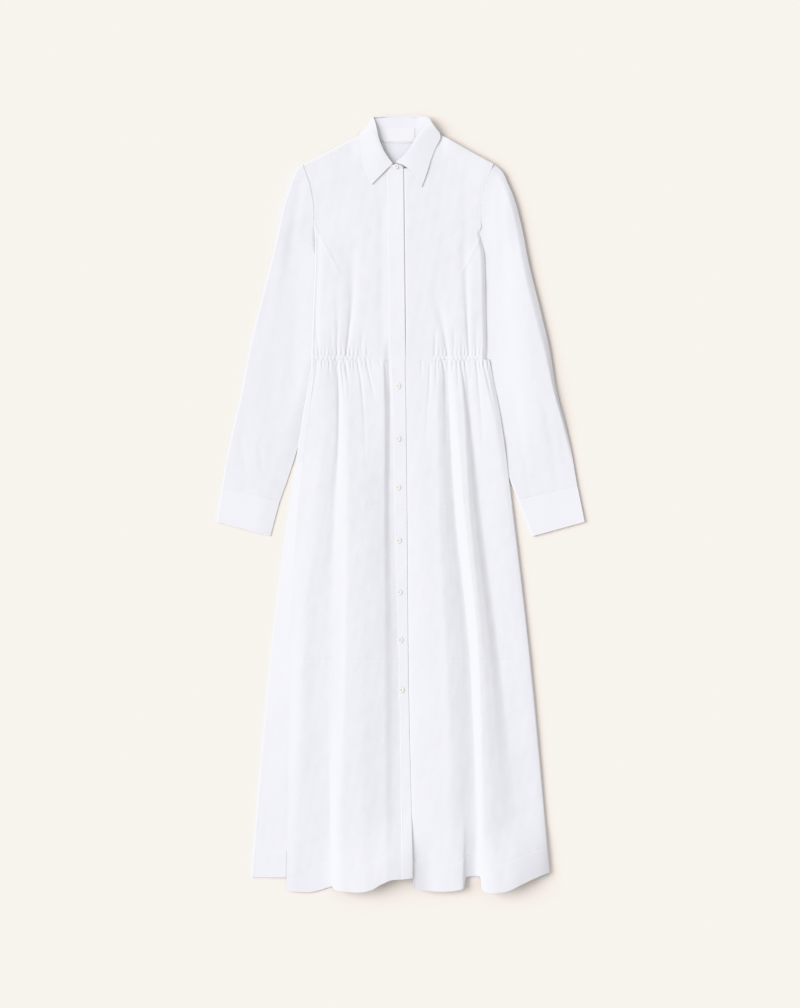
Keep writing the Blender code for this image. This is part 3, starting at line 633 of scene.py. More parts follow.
def cloth_piece(
    node, points, finish=poplin, wall=POPLIN_WALL, offset=-1.0,
    ring=False,
):
    """A panel in the place of a node, from rows of points in mm; a ring joins its two sides."""
    points = np.asarray(points, float)
    rows, columns = points.shape[:2]
    across, along = arc_lengths(points, 1), arc_lengths(points, 0)
    middle = across[:, columns // 2][:, None]
    cloth_map = np.stack((across - middle, along), axis=-1).reshape(-1, 2) * MM

    bm = bmesh.new()
    bmesh.ops.create_grid(bm, x_segments=columns - 1, y_segments=rows - 1, size=1.0)
    mesh = bpy.data.meshes.new(node + "_cloth")
    bm.to_mesh(mesh)
    mesh.vertices.foreach_set("co", (points * MM).ravel())
    corners = np.empty(len(mesh.loops), np.int32)
    mesh.loops.foreach_get("vertex_index", corners)
    mesh.uv_layers.new(name="cloth").data.foreach_set("uv", cloth_map[corners].ravel())
    mesh.polygons.foreach_set("use_smooth", np.ones(len(mesh.polygons), bool))
    bm.clear()
    bm.from_mesh(mesh)
    if ring:
        bmesh.ops.remove_doubles(bm, verts=bm.verts, dist=0.000001)
    for edge in bm.edges:
        edge.smooth = not edge.is_boundary
    bm.to_mesh(mesh)
    bm.free()
    mesh.materials.append(finish)
    piece = bpy.data.objects.new(mesh.name, mesh)
    bpy.context.scene.collection.objects.link(piece)
    shell = piece.modifiers.new("wall", "SOLIDIFY")
    shell.thickness = wall * MM
    shell.offset = offset
    shell.use_quality_normals = True

    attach(piece, "root")
    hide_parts(node)
    return piece

# %% [markdown]
# ## Bodice
# Each front is a patch between four edges: the waist, the neck and shoulder, the closing edge at the
# centre, and the side seam with the armhole.  Near the side and the shoulder it rounds down to the back
# panel beneath.  The lower edge is drawn in by the elastic.


# %% Edges of the bodice
def side_edge(heights, side):
    """The side seam and the armhole of a bodice panel, from the waist to the shoulder tip."""
    seam, hole = outline(BODY_SIDES, heights, side), outline(ARMHOLES, heights, side)
    return np.stack((np.where(heights < ARMPIT, seam, hole), heights), axis=1)


def band_edge(y):
    """x of the bodice's closing edge, which leans a little towards the neck."""
    return 9.0 - 4.0 * (y - WAIST) / (SHOULDER_TIP - WAIST)


def upper_edge(shares, side):
    """Neck and shoulder from the centre (0) to the shoulder tip (1) on one side."""
    rows = np.array(NECK_AND_SHOULDER, float)
    tip = side_edge(np.array([SHOULDER_TIP]), side)[0]
    x = np.interp(shares, rows[:, 0], rows[:, 1]) * side
    x += (tip[0] - 172 * side) * ease((shares - 0.54) / 0.46)
    return np.stack((x, np.interp(shares, rows[:, 0], rows[:, 2])), axis=1)


def patch(bottom, top, left, right, u, v):
    """Points between four edges at shares u across and v up."""
    u, v = u[None, :, None], v[:, None, None]
    ruled = (1 - v) * bottom[None] + v * top[None] + (1 - u) * left[:, None] + u * right[:, None]
    corners = (1 - u) * ((1 - v) * bottom[0] + v * top[0]) + u * ((1 - v) * bottom[-1] + v * top[-1])
    return ruled - corners

# %% Folds of the skirt
# name; x at waist, hip, thigh seam, knee seam, hem; rise at waist, thigh seam, knee seam, hem; y of hem
RIGHT_SKIRT_FOLDS = (
    ("side seam", -152.1, -165.1, -184.9, -199.3, -206.9, 2, 4.2, 4.2, 1.8, -696),
    ("side ridge", -136.2, -132.6, -150.6, -174.1, -190.3, 3.2, 6.6, 6.8, 2.4, -700),
    ("side slope", -123.6, -118.2, -130.8, -152.4, -165.1, 2.9, 6, 6.2, 1.7, -701),
    ("side trough", -114.6, -110.2, -118.2, -131.7, -123.2, 2, 5, 6, 0.8, -690),
    ("side riser", -109.9, -104.1, -107.3, -110.9, -121.8, 4, 7.4, 7.6, 7.6, -692),
    ("middle ridge", -96.5, -92.2, -92.9, -96.5, -105.5, 4.4, 9.2, 9.6, 9.2, -697),
    ("middle slope", -78.5, -74.9, -71.3, -71.3, -76.7, 4, 8.8, 9.2, 9, -699),
    ("lower slope", -58.6, -53.2, -51.4, -51.4, -53.2, 4, 7.7, 8, 8, -695),
    ("ledge", -38.8, -35.5, -36.3, -35.2, -37, 4.8, 6.7, 6.7, 6.8, -686),
    ("crevice lip", -31.6, -29, -29.8, -28, -26.2, 4.9, 6.2, 6.1, 6.1, -681),
    ("crevice", -21.1, -18.2, -19.3, -14.4, -14.4, 0.9, 2.8, 3.3, 4.8, -677),
    ("band start", -17.5, -13.5, -10.6, -2.7, 2.7, 1.9, 2.3, 2.3, 4.2, -676),
    ("front edge", 8.1, 9.9, 11.7, 14.1, 22.9, 2.2, 2, 2, 3.5, -674),
)
LEFT_SKIRT_FOLDS = (
    ("hidden edge", -15, -14.1, -12.1, -9, -0.9, 0.5, 0.5, 0.5, 2.2, -668),
    ("under the edge", 8.3, 10.1, 11.9, 14.3, 23.1, 1.4, 1.2, 1.2, 2.7, -671),
    ("beside the edge", 8.8, 10.6, 12.4, 14.8, 23.6, 2.8, 2.6, 2.6, 4.1, -692),
    ("inner flat", 28, 28, 31.6, 33.4, 44.2, 2.9, 3.9, 4.6, 5.4, -697),
    ("inner panel", 53.2, 55, 56.8, 69.5, 73.1, 3.2, 4.7, 5.6, 6.8, -699),
    ("deep lip", 65.1, 65.8, 67.7, 82.1, 92.9, 3.5, 4.9, 6, 7.4, -698),
    ("deep slope", 73.1, 74.1, 78.5, 94.7, 114.6, 2.7, 3.9, 4.9, 5.4, -692),
    ("deep floor start", 77.8, 80.3, 87.5, 109.1, 118.5, 1.8, 2.2, 3.1, 4, -673),
    ("deep floor end", 84.6, 88.9, 98.3, 126.5, 143.4, 0.5, 0.3, 0.3, 0.2, -671),
    ("deep far lip", 89.3, 96.5, 108.8, 136.9, 146.7, 3.8, 6.6, 9.4, 11.6, -693),
    ("outer ridge", 97.6, 103.4, 114.2, 141.6, 155.1, 4.1, 8.4, 10.6, 12.4, -699),
    ("outer lip", 107, 113.8, 122.5, 148.1, 168, 3.9, 8.3, 10.4, 12, -700),
    ("outer slope", 111.7, 119.6, 130.8, 160.7, 188.5, 3, 6.3, 8.4, 10.4, -698),
    ("outer floor", 117.4, 126.5, 144.1, 180.2, 221, 1.6, 2.4, 3.7, 7.2, -684),
    ("side flat", 125.4, 136.2, 161.5, 201.1, 240.8, 2.5, 3.1, 3.7, 5.2, -675),
    ("side shelf", 135.1, 150.6, 177.7, 214.9, 253.5, 2.9, 3.7, 4, 4.2, -670),
    ("side roll", 148.8, 166.9, 191, 225.3, 262.5, 4, 3.9, 3.9, 3.4, -667),
    ("side edge", 159.7, 179.5, 201.1, 233.6, 269, 0.6, 3.2, 3.3, 2.4, -665),
)
SKIRT_FOLDS = {-1: RIGHT_SKIRT_FOLDS, 1: LEFT_SKIRT_FOLDS}
HELD_FLAT = 0.3  # share of a fold's depth that is left at the waist seam
WAIST_RISE = 2.6


def waist_rise(x, folds):
    """Height of the cloth at the waist seam, the same for the bodice and the skirt."""
    lines = np.array([row[1:] for row in folds], float)
    return WAIST_RISE + HELD_FLAT * (pchip(lines[:, 0], lines[:, 5], x) - WAIST_RISE)

print(len(RIGHT_SKIRT_FOLDS), "fold lines on the right,", len(LEFT_SKIRT_FOLDS), "on the left")

# %% Broad folds and darts of the bodice
SHOULDER_RISE = 3.6  # the left shoulder stands up from the floor
BODICE_FOLDS = {
    -1: (
        (-90, 470, -88, 380, -98, 275, 0.5, 9),
        (-33, 566, -33, 420, -33, 277, 0.6, 9),
        (-148, 500, -152, 367, -155, 270, 1.1, 6),
    ),
    1: (
        (112, 484, 118, 367, 123, 273, 0.5, 9),
        (55, 400, 72, 330, 85, 275, 0.4, 9),
    ),
}


def fold_relief(x, y, folds):
    """Depth of the broad folds of a bodice panel; a ridge is negative."""
    relief = np.zeros_like(x)
    for x0, y0, x1, y1, x2, y2, depth, half_width in folds:
        line = pchip((y2, y1, y0), (x2, x1, x0), y)
        run = ease((y0 - y) / 35) * ease((y - y2 + 30) / 30)
        relief += depth * np.exp(-(((x - line) / half_width) ** 2)) * run
    return relief


DART_START, DART_POINT = (163.0, 515.0), (104.0, 403.0)  # armhole and bust ends of the dart


def dart(x, y):
    """A fine ridge along the bust dart."""
    run = np.array(DART_POINT) - DART_START
    long = np.hypot(*run)
    from_x, from_y = np.abs(x) - DART_START[0], y - DART_START[1]
    along = (from_x * run[0] + from_y * run[1]) / long
    beside = (from_x * run[1] - from_y * run[0]) / long
    return 0.5 * np.exp(-((beside / 1.9) ** 2)) * ease(along / 6) * ease((long - along) / 30)


def front_height(x, y, side):
    """Outer face of a bodice front away from its edges."""
    crown = 1.6 * (1 - (x / 150) ** 2) * ease((585 - y) / 120)
    free = BODICE_RISE + crown - fold_relief(x, y, BODICE_FOLDS[side]) + waves(x, y) + dart(x, y)
    if side > 0:
        free = free - 1.1 * (1 - ease((x - band_edge(y)) / 3))
    seam = waist_rise(x, SKIRT_FOLDS[side])
    rise = seam + (free - seam) * ease((y - WAIST) / 45)
    rise = rise - creased(x, y, BODICE_CREASES[side]) + ruching(x, y)
    return STACK + front_base(x, y) + np.maximum(rise, 0.3)


print("bust dart:", round(float(np.hypot(*np.subtract(DART_POINT, DART_START)))), "mm long")

# %% Plan of a bodice front
BODICE_TALL = SHOULDER_TIP - WAIST
FRONT_WIDE = 160.0  # about, from the closing edge to the side seam
RUCHED = 28.0  # height above the waist that has fine rows
FINE_EDGE = (0, 0.25, 0.7, 1.4, 2.4, 3.8)  # points near an edge that rounds down
CLOSING_EDGE = {-1: (9.0, 5.0), 1: (-15.0, -15.0)}  # x at the waist, at the neck


def front_plan(side):
    """x, y of a bodice front; its shares across and up; its side seam and armhole."""
    at_waist, at_neck = CLOSING_EDGE[side]
    u = spaced(FRONT_WIDE, 1.3, near_end=FINE_EDGE) / FRONT_WIDE
    above = RUCHED + spaced(BODICE_TALL - RUCHED, 3.2, near_end=FINE_EDGE)[1:]
    v = np.concatenate((np.linspace(0, RUCHED, 26), above)) / BODICE_TALL
    heights = WAIST + v * BODICE_TALL
    outer = side_edge(heights, side)
    if side > 0:
        outer[:, 0] += 2.4 * ease((ARMPIT - 8 - heights) / 40) * ease((heights - WAIST) / 25)
    top = upper_edge(u, side)
    top[0, 0] = at_neck
    centre = np.stack((at_waist + v * (at_neck - at_waist), WAIST + v * (top[0, 1] - WAIST)), axis=1)
    waist = np.stack((centre[0, 0] + u * (outer[0, 0] - centre[0, 0]), 0 * u + WAIST), axis=1)
    return patch(waist, top, centre, outer, u, v), u, v, outer


print("a bodice front is", round(BODICE_TALL), "mm tall")


# %% Bodice fronts
def bodice_front(side):
    """A front with rounded edges and a short turned-down strip along its side seam and armhole."""
    plan, u, v, outer = front_plan(side)
    x, y = plan[..., 0], plan[..., 1]
    to_side = np.broadcast_to((1 - u[None, :]) * FRONT_WIDE, x.shape)
    to_shoulder = (1 - v[:, None]) * BODICE_TALL + 40 * ease((0.545 - u[None, :]) / 0.02)
    at_armhole = ease((y - ARMPIT + 12) / 14)
    if side > 0:
        side_drop = (2.4 - 2.3 * at_armhole) * (1 - bevel(to_side, 6.5))
    else:
        side_drop = (0.5 - 0.3 * at_armhole) * (1 - rounded(to_side, 1.2))
    shoulder_drop = (0.6 if side > 0 else 2.6) * (1 - rounded(to_shoulder, 4))
    z = front_height(x, y, side) - np.maximum(side_drop, shoulder_drop)
    if side > 0:
        z = z + SHOULDER_RISE * (1 - ease(to_shoulder / 45)) * ease((x - 70) / 20)
    points = np.stack((x, y, z), axis=-1)
    hang = points[:, -1:].repeat(3, axis=1)
    down = np.maximum(hang[:, :1, 2] - base(outer[:, 0], outer[:, 1])[:, None] - 0.9, 1.5)
    hang[..., 0] += side * np.array((0.35, 0.6, 0.7)) * (1 - 0.5 * at_armhole[:, -1:])
    hang[..., 2] -= down * np.array((0.15, 0.5, 1.0))
    points = np.concatenate((points, hang), axis=1)
    return points[:, ::-1] if side < 0 else points


bodice_fronts = {
    side: cloth_piece("bodice_front_" + name, bodice_front(side))
    for side, name in SIDES
}

# %% Bodice back
NECK_SHARE = 0.34  # of half the back's width


def back_top(u):
    """Upper edge of the back from left to right: a shallow neck curve between the shoulders."""
    top = np.empty((len(u), 2))
    for index, share in enumerate(np.abs(2 * u - 1)):
        side = 1 if u[index] < 0.5 else -1
        if share > NECK_SHARE:
            on_shoulder = (share - NECK_SHARE) / (1 - NECK_SHARE)
            top[index] = upper_edge(np.array([0.54 + 0.46 * on_shoulder]), side)[0]
        else:
            across = share / NECK_SHARE
            top[index] = (side * 65 * across, 652 + 15 * across**2.5)
    return top


def bodice_back():
    """The back, which lies on the floor and on the tucked sleeves."""
    half_columns = spaced(0.5, 0.012, near_start=(0, 0.002, 0.006))
    u = np.concatenate((half_columns, 1 - half_columns[-2::-1]))
    v = spaced(BODICE_TALL, 6.0, near_start=(0, 1, 3), near_end=(0, 1, 3)) / BODICE_TALL
    heights = WAIST + v * BODICE_TALL
    left, right = side_edge(heights, 1), side_edge(heights, -1)
    left[:, 0] -= 1.2
    right[:, 0] += 1.2
    waist = np.stack((left[0, 0] + u * (right[0, 0] - left[0, 0]), 0 * u + WAIST), axis=1)
    plan = patch(waist, back_top(u), left, right, u, v)
    x, y = plan[..., 0], plan[..., 1]
    past_neck = 40 * ease((0.35 - np.abs(2 * u - 1)[None, :]) / 0.02)
    to_shoulder = (1 - v[:, None]) * BODICE_TALL + past_neck
    joined = (1.5 + SHOULDER_RISE * ease((x - 70) / 20)) * (1 - ease(to_shoulder / 14))  # up to the front
    return np.stack((x, y, base(x, y) + back_gathers(x, y - WAIST) + joined), axis=-1)


cloth_piece("bodice_back", bodice_back())

# %% [markdown]
# ## Skirt
# Each side of the skirt front hangs in folds from the waist.  A fold is a line with an x and a height at
# five levels, and the cloth between two lines is one smooth curve.  The three tiers are sewn on top of
# each other, so a tier's edges dip a little at the seam.  The skirt's back lies on the floor, wraps round
# the wearer's right side and comes up to the side seam on the front.

# %% Fold lines
HEM_LIFTS = (  # x, and how far the free hem stands up from the floor
    (-290, 0), (-121, 0), (-117, 9), (-92, 12.5), (-55, 15), (-20, 15.5), (0, 14.5), (21, 12),
    (26, 9), (60, 4), (90, 4), (112, 5), (118, 2), (138, 0), (146, 7), (170, 11.5), (200, 13),
    (225, 11), (252, 6.5), (270, 1.5),
)
LIFTED_LENGTH = 130.0  # of the cloth above the hem


def hem_lift(x, above_hem):
    """Rise of the free hem, fading out up the skirt."""
    rows = np.array(HEM_LIFTS, float)
    return pchip(rows[:, 0], rows[:, 1], x) * (1 - ease(above_hem / LIFTED_LENGTH))


def fold_at(fold, y):
    """x and rise of one fold line at height y."""
    _, *numbers, hem = fold
    x = pchip((hem, KNEE_SEAM, THIGH_SEAM, HIP, WAIST), numbers[4::-1], y)
    rise = pchip((hem, KNEE_SEAM, THIGH_SEAM, WAIST), numbers[8:4:-1], y)
    return x, rise


TIERS = {"upper": (THIGH_SEAM, WAIST), "middle": (KNEE_SEAM, THIGH_SEAM), "lower": (None, KNEE_SEAM)}
LOWER_TIER = 410.0  # its length on the fronts, for the rows
HEM_ROWS = (0, 1, 3, 7, 12, 18, 24, 30, 36, 42, 45.5, 47.2, 48.2, 49, 49.8, 50.8, 52.5, 56)
SEAM_ROWS = (0, 0.5, 1.2, 2.2, 3.6)
GATHERED = 48.0  # height below the waist that has fine rows


def tier_shares(tier):
    """Rows of a tier as shares of its height, from its lower edge up, close together at its seams."""
    if tier == "upper":
        tall = WAIST - THIGH_SEAM
        near_waist = tall - np.linspace(0, GATHERED, 34)[::-1]
        return np.concatenate((spaced(tall - GATHERED, 4.0, near_start=SEAM_ROWS)[:-1], near_waist)) / tall
    if tier == "middle":
        tall = THIGH_SEAM - KNEE_SEAM
        return spaced(tall, 4.5, near_start=SEAM_ROWS, near_end=SEAM_ROWS) / tall
    above = HEM_ROWS[-1] + spaced(LOWER_TIER - HEM_ROWS[-1], 5.0, near_end=SEAM_ROWS)[1:]
    return np.concatenate((HEM_ROWS, above)) / LOWER_TIER


print("rows of the tiers:", {tier: len(tier_shares(tier)) for tier in TIERS})

# %% Seams and hem of the skirt
SEAM_DIP = 0.12


def free_share(y):
    """Share of a fold's depth at height y: held flat at the waist, free 60 mm below it."""
    return HELD_FLAT + (1 - HELD_FLAT) * ease((WAIST - y) / 60)


def seam_dips(y):
    """How deep the two tier seams hold the cloth down."""
    return sum(SEAM_DIP * np.exp(-(((y - seam_y) / 1.6) ** 2)) for seam_y in (THIGH_SEAM, KNEE_SEAM))


def seam_puckers(x, y):
    """Small ripples on both sides of a tier seam."""
    pucker = 0.05 * np.sin(2 * np.pi * x / 11.0 + 1.5 * np.sin(x / 17.0))
    return sum(pucker * np.exp(-(((y - seam_y) / 9.0) ** 2)) for seam_y in (THIGH_SEAM, KNEE_SEAM))


def hem_turn(above_hem, thick):
    """The doubled hem: thicker cloth that ends in a sewn line."""
    from_line = above_hem - HEM_DEPTH
    return thick * (1 - ease((from_line + 1.5) / 3)) - thick * np.exp(-((from_line / 1.3) ** 2))


print("the hem is turned up", HEM_DEPTH, "mm")

# %% Rows of a skirt front
COLUMNS = {"upper": (0, 1.25), "middle": (3, 2.2), "lower": (4, 2.6)}  # level they are spaced at, spacing


def skirt_columns(folds, tier):
    """Columns of a tier, counted in fold lines."""
    level, spacing = COLUMNS[tier]
    xs = [row[1 + level] for row in folds]
    columns = [0.0]
    for index, (left, right) in enumerate(zip(xs, xs[1:])):
        pieces = max(3, round((right - left) / spacing))
        columns += [index + (step + 1) / pieces for step in range(pieces)]
    return np.array(columns)


def skirt_row(side, columns, tier, share):
    """One row of a skirt front: fold lines joined smoothly, with creases, waves and seam dips."""
    folds = SKIRT_FOLDS[side]
    low, high = TIERS[tier]
    lines = []
    for fold in folds:
        bottom = fold[-1] if low is None else low
        y = bottom + share * (high - bottom)
        x, rise = fold_at(fold, y)
        lines.append((x, y, rise))
    x, y, rise = (pchip(np.arange(len(lines)), values, columns) for values in np.array(lines, float).T)
    seam = waist_rise(x, folds)
    rise = seam + (rise - seam) * free_share(y) + waves(x, y) * ease((WAIST - y) / 30)
    if tier == "upper":
        rise = rise - creased(x, y, WAIST_CREASES[side]) + ruching(x, y)
    rise = rise - seam_dips(y) + seam_puckers(x, y)
    if tier == "lower":
        rise = rise + hem_lift(x, share * LOWER_TIER) + hem_turn(share * LOWER_TIER, 0.2)
    return x, y, STACK + front_base(x, y) + np.maximum(rise, 0.1)


# %% Skirt fronts
def skirt_front(side, tier):
    """A tier of a skirt front; the left one turns down to the floor at its side seam."""
    columns = skirt_columns(SKIRT_FOLDS[side], tier)
    points = []
    for share in tier_shares(tier):
        x, y, z = skirt_row(side, columns, tier, share)
        row = np.stack((x, y, z), axis=1)
        if side > 0:
            edge = row[-1]
            down = max(1.2, edge[2] - float(base(edge[0], edge[1])) - 0.9)
            turned = [edge + (out, 0, -part * down) for out, part in ((0.4, 0.15), (0.7, 0.5), (0.8, 1.0))]
            row = np.concatenate((row, turned))
        else:
            row[:, 0] += 0.35 * ease((VENT_TOP - y) / 8) * ease(1 - columns)
        points.append(row)
    return np.array(points)


skirt_fronts = {
    (side, tier): cloth_piece(
        f"skirt_front_{name}_{tier}", skirt_front(side, tier)
    )
    for tier in TIERS
    for side, name in SIDES
}

# %% Rows of a skirt back
FOLD_RADIUS = 2.0
UNDER_COLUMNS = 60


def wrap(y):
    """x of the fold on the right, and x and height of the side seam that the cloth comes up to."""
    right = -float(body_side(y, -1)) + FOLD_RADIUS
    seam_x, rise = (float(value) for value in fold_at(RIGHT_SKIRT_FOLDS[0], max(y, BACK_HEM)))
    held = float(waist_rise(np.array([seam_x]), RIGHT_SKIRT_FOLDS)[0])
    rise = held + (rise - held) * float(free_share(y))
    return right, seam_x, STACK + float(front_base(seam_x, y)) + rise


def skirt_back_row(y, above_hem, tier):
    """One row of a skirt back: along the floor towards -X, round the fold, and up to the side seam."""
    right, seam_x, seam_top = wrap(y)
    left = float(body_side(y, 1)) - 0.6
    shares = np.linspace(0, 1, UNDER_COLUMNS)
    x = left + (right - left) * shares
    ripple = 0.5 * (1 - np.cos(2 * np.pi * x / 46.0)) * ease((WAIST - y) / 80) + back_gathers(x, WAIST - y)
    ripple *= ease(shares / 0.08) * ease((1 - shares) / 0.08)
    under = np.stack((x, 0 * x + y, base(x, y) + ripple), axis=1)

    low = float(under[-1, 2])
    sloping = float(ease((WAIST - y) / 60))  # the wrapped side slopes up to the seam
    top = seam_top + (max(low + 1.5, 2.3) - seam_top) * sloping
    turns = np.radians(np.linspace(-90, 90, 15))[1:]
    fold_z = (top + low) / 2 + (top - low) / 2 * np.sin(turns)
    fold = np.stack((right - FOLD_RADIUS * np.cos(turns), 0 * turns + y, fold_z), axis=1)

    over_x = np.append(np.linspace(right, seam_x - 0.2, 27)[1:], seam_x + np.array((0.0, 0.12, 2.4)))
    climb = np.clip((over_x - right) / (seam_x - right), 0, 1)
    over_z = top + (seam_top - top) * climb - 0.78 * (over_x > seam_x)
    row = np.concatenate((under, fold, np.stack((over_x, 0 * over_x + y, over_z), axis=1)))

    relief = waves(row[:, 0], row[:, 1]) * ease((WAIST - y) / 30) - seam_dips(y)
    if tier == "upper":
        relief = relief + ruching(row[:, 0], row[:, 1])
    if tier == "lower":
        relief = relief + hem_turn(above_hem, 0.3)
    row[:, 2] += relief * np.concatenate((0 * shares, np.sin(np.maximum(turns, 0)), 0.3 + 0.7 * climb))
    return row


# %% Skirt backs
def skirt_back(tier):
    """A tier of the skirt's back; its hem has one height all the way."""
    low, high = TIERS[tier]
    shares = tier_shares(tier)
    if low is None:
        low = BACK_HEM
        shares = shares * LOWER_TIER / (high - low)
        shares = np.append(shares[shares < 0.985], 1.0)
    return np.array([skirt_back_row(low + rise, rise, tier) for rise in shares * (high - low)])


for tier in TIERS:
    cloth_piece("skirt_back_" + tier, skirt_back(tier))

# %% [markdown]
# ## Button bands
# The closing edge of the right front carries a band with the buttonholes.  It is cut double and sewn on
# top, so it is a little thicker than the cloth and lies straighter.

# %% Bands of the bodice and the skirt
BAND_WIDTH = 29.0
BODICE_BAND_TOP = 608.0
BAND_LEFT, BAND_RIGHT = 11, 12  # fold lines under the skirt band's edges


def band_face(z, across):
    """A band's outer face over the cloth at z, rounded at its long edges."""
    rim = 0.3 * (1 - rounded(np.minimum(across, across[-1] - across), 0.7))
    return z + BAND_THICKNESS + 0.05 - rim


def bodice_band():
    """Rows of the bodice's band, from the waist up."""
    heights = WAIST + spaced(BODICE_BAND_TOP - WAIST, 3.5, near_start=(0, 1), near_end=(0, 1))[:, None]
    across = spaced(BAND_WIDTH, 1.6, near_start=(0, 0.3, 0.8), near_end=(0, 0.3, 0.8))
    x = band_edge(heights) + 0.1 - BAND_WIDTH + across[None, :]
    y = heights + 0 * x
    return np.stack((x, y, band_face(front_height(x, y, -1), across)), axis=-1)


def skirt_band():
    """Rows of the skirt's band, from the hem up, on the cloth of all three tiers."""
    columns = BAND_LEFT + spaced(1.0, 0.06, near_start=(0, 0.01, 0.03), near_end=(0, 0.01, 0.03))
    rows = []
    for tier in ("lower", "middle", "upper"):
        for share in tier_shares(tier)[(0 if tier == "lower" else 1):]:
            x, y, z = skirt_row(-1, columns, tier, share)
            across = (columns - BAND_LEFT) * (x[-1] - x[0])
            rows.append(np.stack((x + 0.1, y, band_face(z, across)), axis=1))
    return np.array(rows)


bands = [
    cloth_piece(node, points, band_cotton, wall=BAND_THICKNESS)
    for node, points, below in (
        ("bodice_band", bodice_band(), "bodice_front_right"),
        ("skirt_band", skirt_band(), "skirt_front_right_upper"),
    )
]

# %% [markdown]
# ## Sleeves and cuffs
# A laid sleeve is a tube pressed flat.  Its upper side is nearly level and rounds down over the last two
# centimetres to each edge.  The body lies on the inner edge and presses it flatter.  At the armhole the
# tube tucks in under the bodice, and at the wrist it tucks into the cuff.

# %% Creases and levels of the sleeves
# rows as in the crease tables above
SLEEVE_VALLEYS = {
    -1: (
        (-181, 578, -208, 385, -239, 115, 0.9, 10, 15, 0.6),
        (-288, 120, -282, 70, -280, 36, 0.4, 5, 3, 0.2),
        (-254, 112, -250, 60, -246, 22, 0.5, 6, 3, 0.2),
    ),
    1: (
        (180, 575, 189, 385, 205, 200, 0.7, 9, 12, 0.4),
        (205, 200, 222, 90, 232, 25, 0.5, 8, 5, 0.5),
        (259, 180, 274, 100, 283, 30, 0.6, 9, 6, 0.5),
    ),
}


def sleeve_level(x, y, side):
    """Height of a laid sleeve's upper side away from its edges."""
    outside = np.abs(x) - body_side(y, side)
    fading = ease((y - 60) / 120)
    at_body = TUCKED_HEIGHT + (SLEEVE_AT_BODY[side] - TUCKED_HEIGHT) * fading
    under = TUCKED_HEIGHT + (at_body - TUCKED_HEIGHT) * ease((outside + 12) / 10)
    if side < 0:
        beyond = at_body - 1.2 * fading * ease(outside / 34) + 1.0 * ease((outside - 30) / 34)
    else:
        beyond = at_body + (7.2 - 4.8 * ease((150 - y) / 130)) * ease(outside / 85)
    level = np.where(outside > 0, beyond, under)
    at_seam = 5.2 + (1.3 if side > 0 else 0.9) * ease((y - 500) / 30)
    at_seam = at_seam + (2.4 * ease((y - 565) / 45) if side > 0 else 0.0)
    holes = np.array(ARMHOLES, float)
    from_armhole = np.abs(x) - np.abs(np.interp(y, holes[:, 0], holes[:, 1 if side < 0 else 2]))
    cap = at_seam + (CAP_HEIGHT[side] - at_seam) * ease(from_armhole / 50)
    return level + (cap - level) * ease((y - ARMPIT + 50) / 70)

# %% Plan of a sleeve ring
CUFF_HEIGHT = {-1: 3.3, 1: 4.2}
UNDERARM_CURVE = 4.5  # the armhole of the sleeve turns in under the body


def sleeve_line(side, at):
    """The line across a sleeve at a station: x, y of its outer end and x, y of its inner end."""
    rows = SLEEVES[side]
    return [pchip(np.arange(len(rows)), rows[:, column], at) for column in range(4)]


def ring_plan(side, station, across, kind):
    """x, y of a ring's points and its width, from shares across it that start at the outer edge."""
    at, tuck = max(0.0, station), max(0.0, -station)
    outer_x, outer_y, inner_x, inner_y = sleeve_line(side, at)
    if side > 0:
        wider = ease(at / 1.5) * (1 - 0.75 * ease((at - 3) / 5)) * ease((11 - at) / 1.5)
        outer_x = outer_x + 3.2 * float(wider)
    width = np.hypot(inner_x - outer_x, inner_y - outer_y)
    into_cuff = 0.5 * float(ease((at - 10.9) / 0.1)) if kind == "sleeve" else 0.0
    spread = into_cuff / width + across * (1 - 2 * into_cuff / width)
    x = outer_x + spread * (inner_x - outer_x)
    y = outer_y + spread * (inner_y - outer_y)
    start_x, start_y, end_x, end_y = SLEEVES[side][0]
    first_x, first_y = start_x + across * (end_x - start_x), start_y + across * (end_y - start_y)
    curve = outline(ARMHOLES, first_y, side) - first_x
    x = x + (curve + side * 0.3) * (1 - ease(at / 4.0)) - side * 3.4 * tuck
    x = x - side * UNDERARM_CURVE * ease((514 - first_y) / 19) * (1 - ease(at / 1.2))
    return x, y, width


# %% Sleeve rings
def to_rims(side, at, level, from_outer, from_inner):
    """The upper side of a sleeve, brought down to its rims at both edges."""
    if side > 0:  # the outer edge turns away from the lamp
        steep = 1 - float(ease((at - 6.2) / 2.4))
        head = 1 - float(ease((at - 1.5) / 4.5))
        outer_rim, outer_shape = 4.2 + 2.0 * steep + 0.8 * head, bevel(from_outer, 4.0 + 8.0 * steep)
        inner_rim, inner_shape = 1.2 + 3.4 * (1 - float(ease(at / 0.6))), rounded(from_inner, 3.0)
    else:
        outer_rim, outer_shape = 1.2, rounded(from_outer, 2.5)
        inner_rim, inner_shape = 1.4, bevel(from_inner, 30.0)
    outer_side = outer_rim + (level - outer_rim) * outer_shape
    return np.minimum(outer_side, inner_rim + (level - inner_rim) * inner_shape)


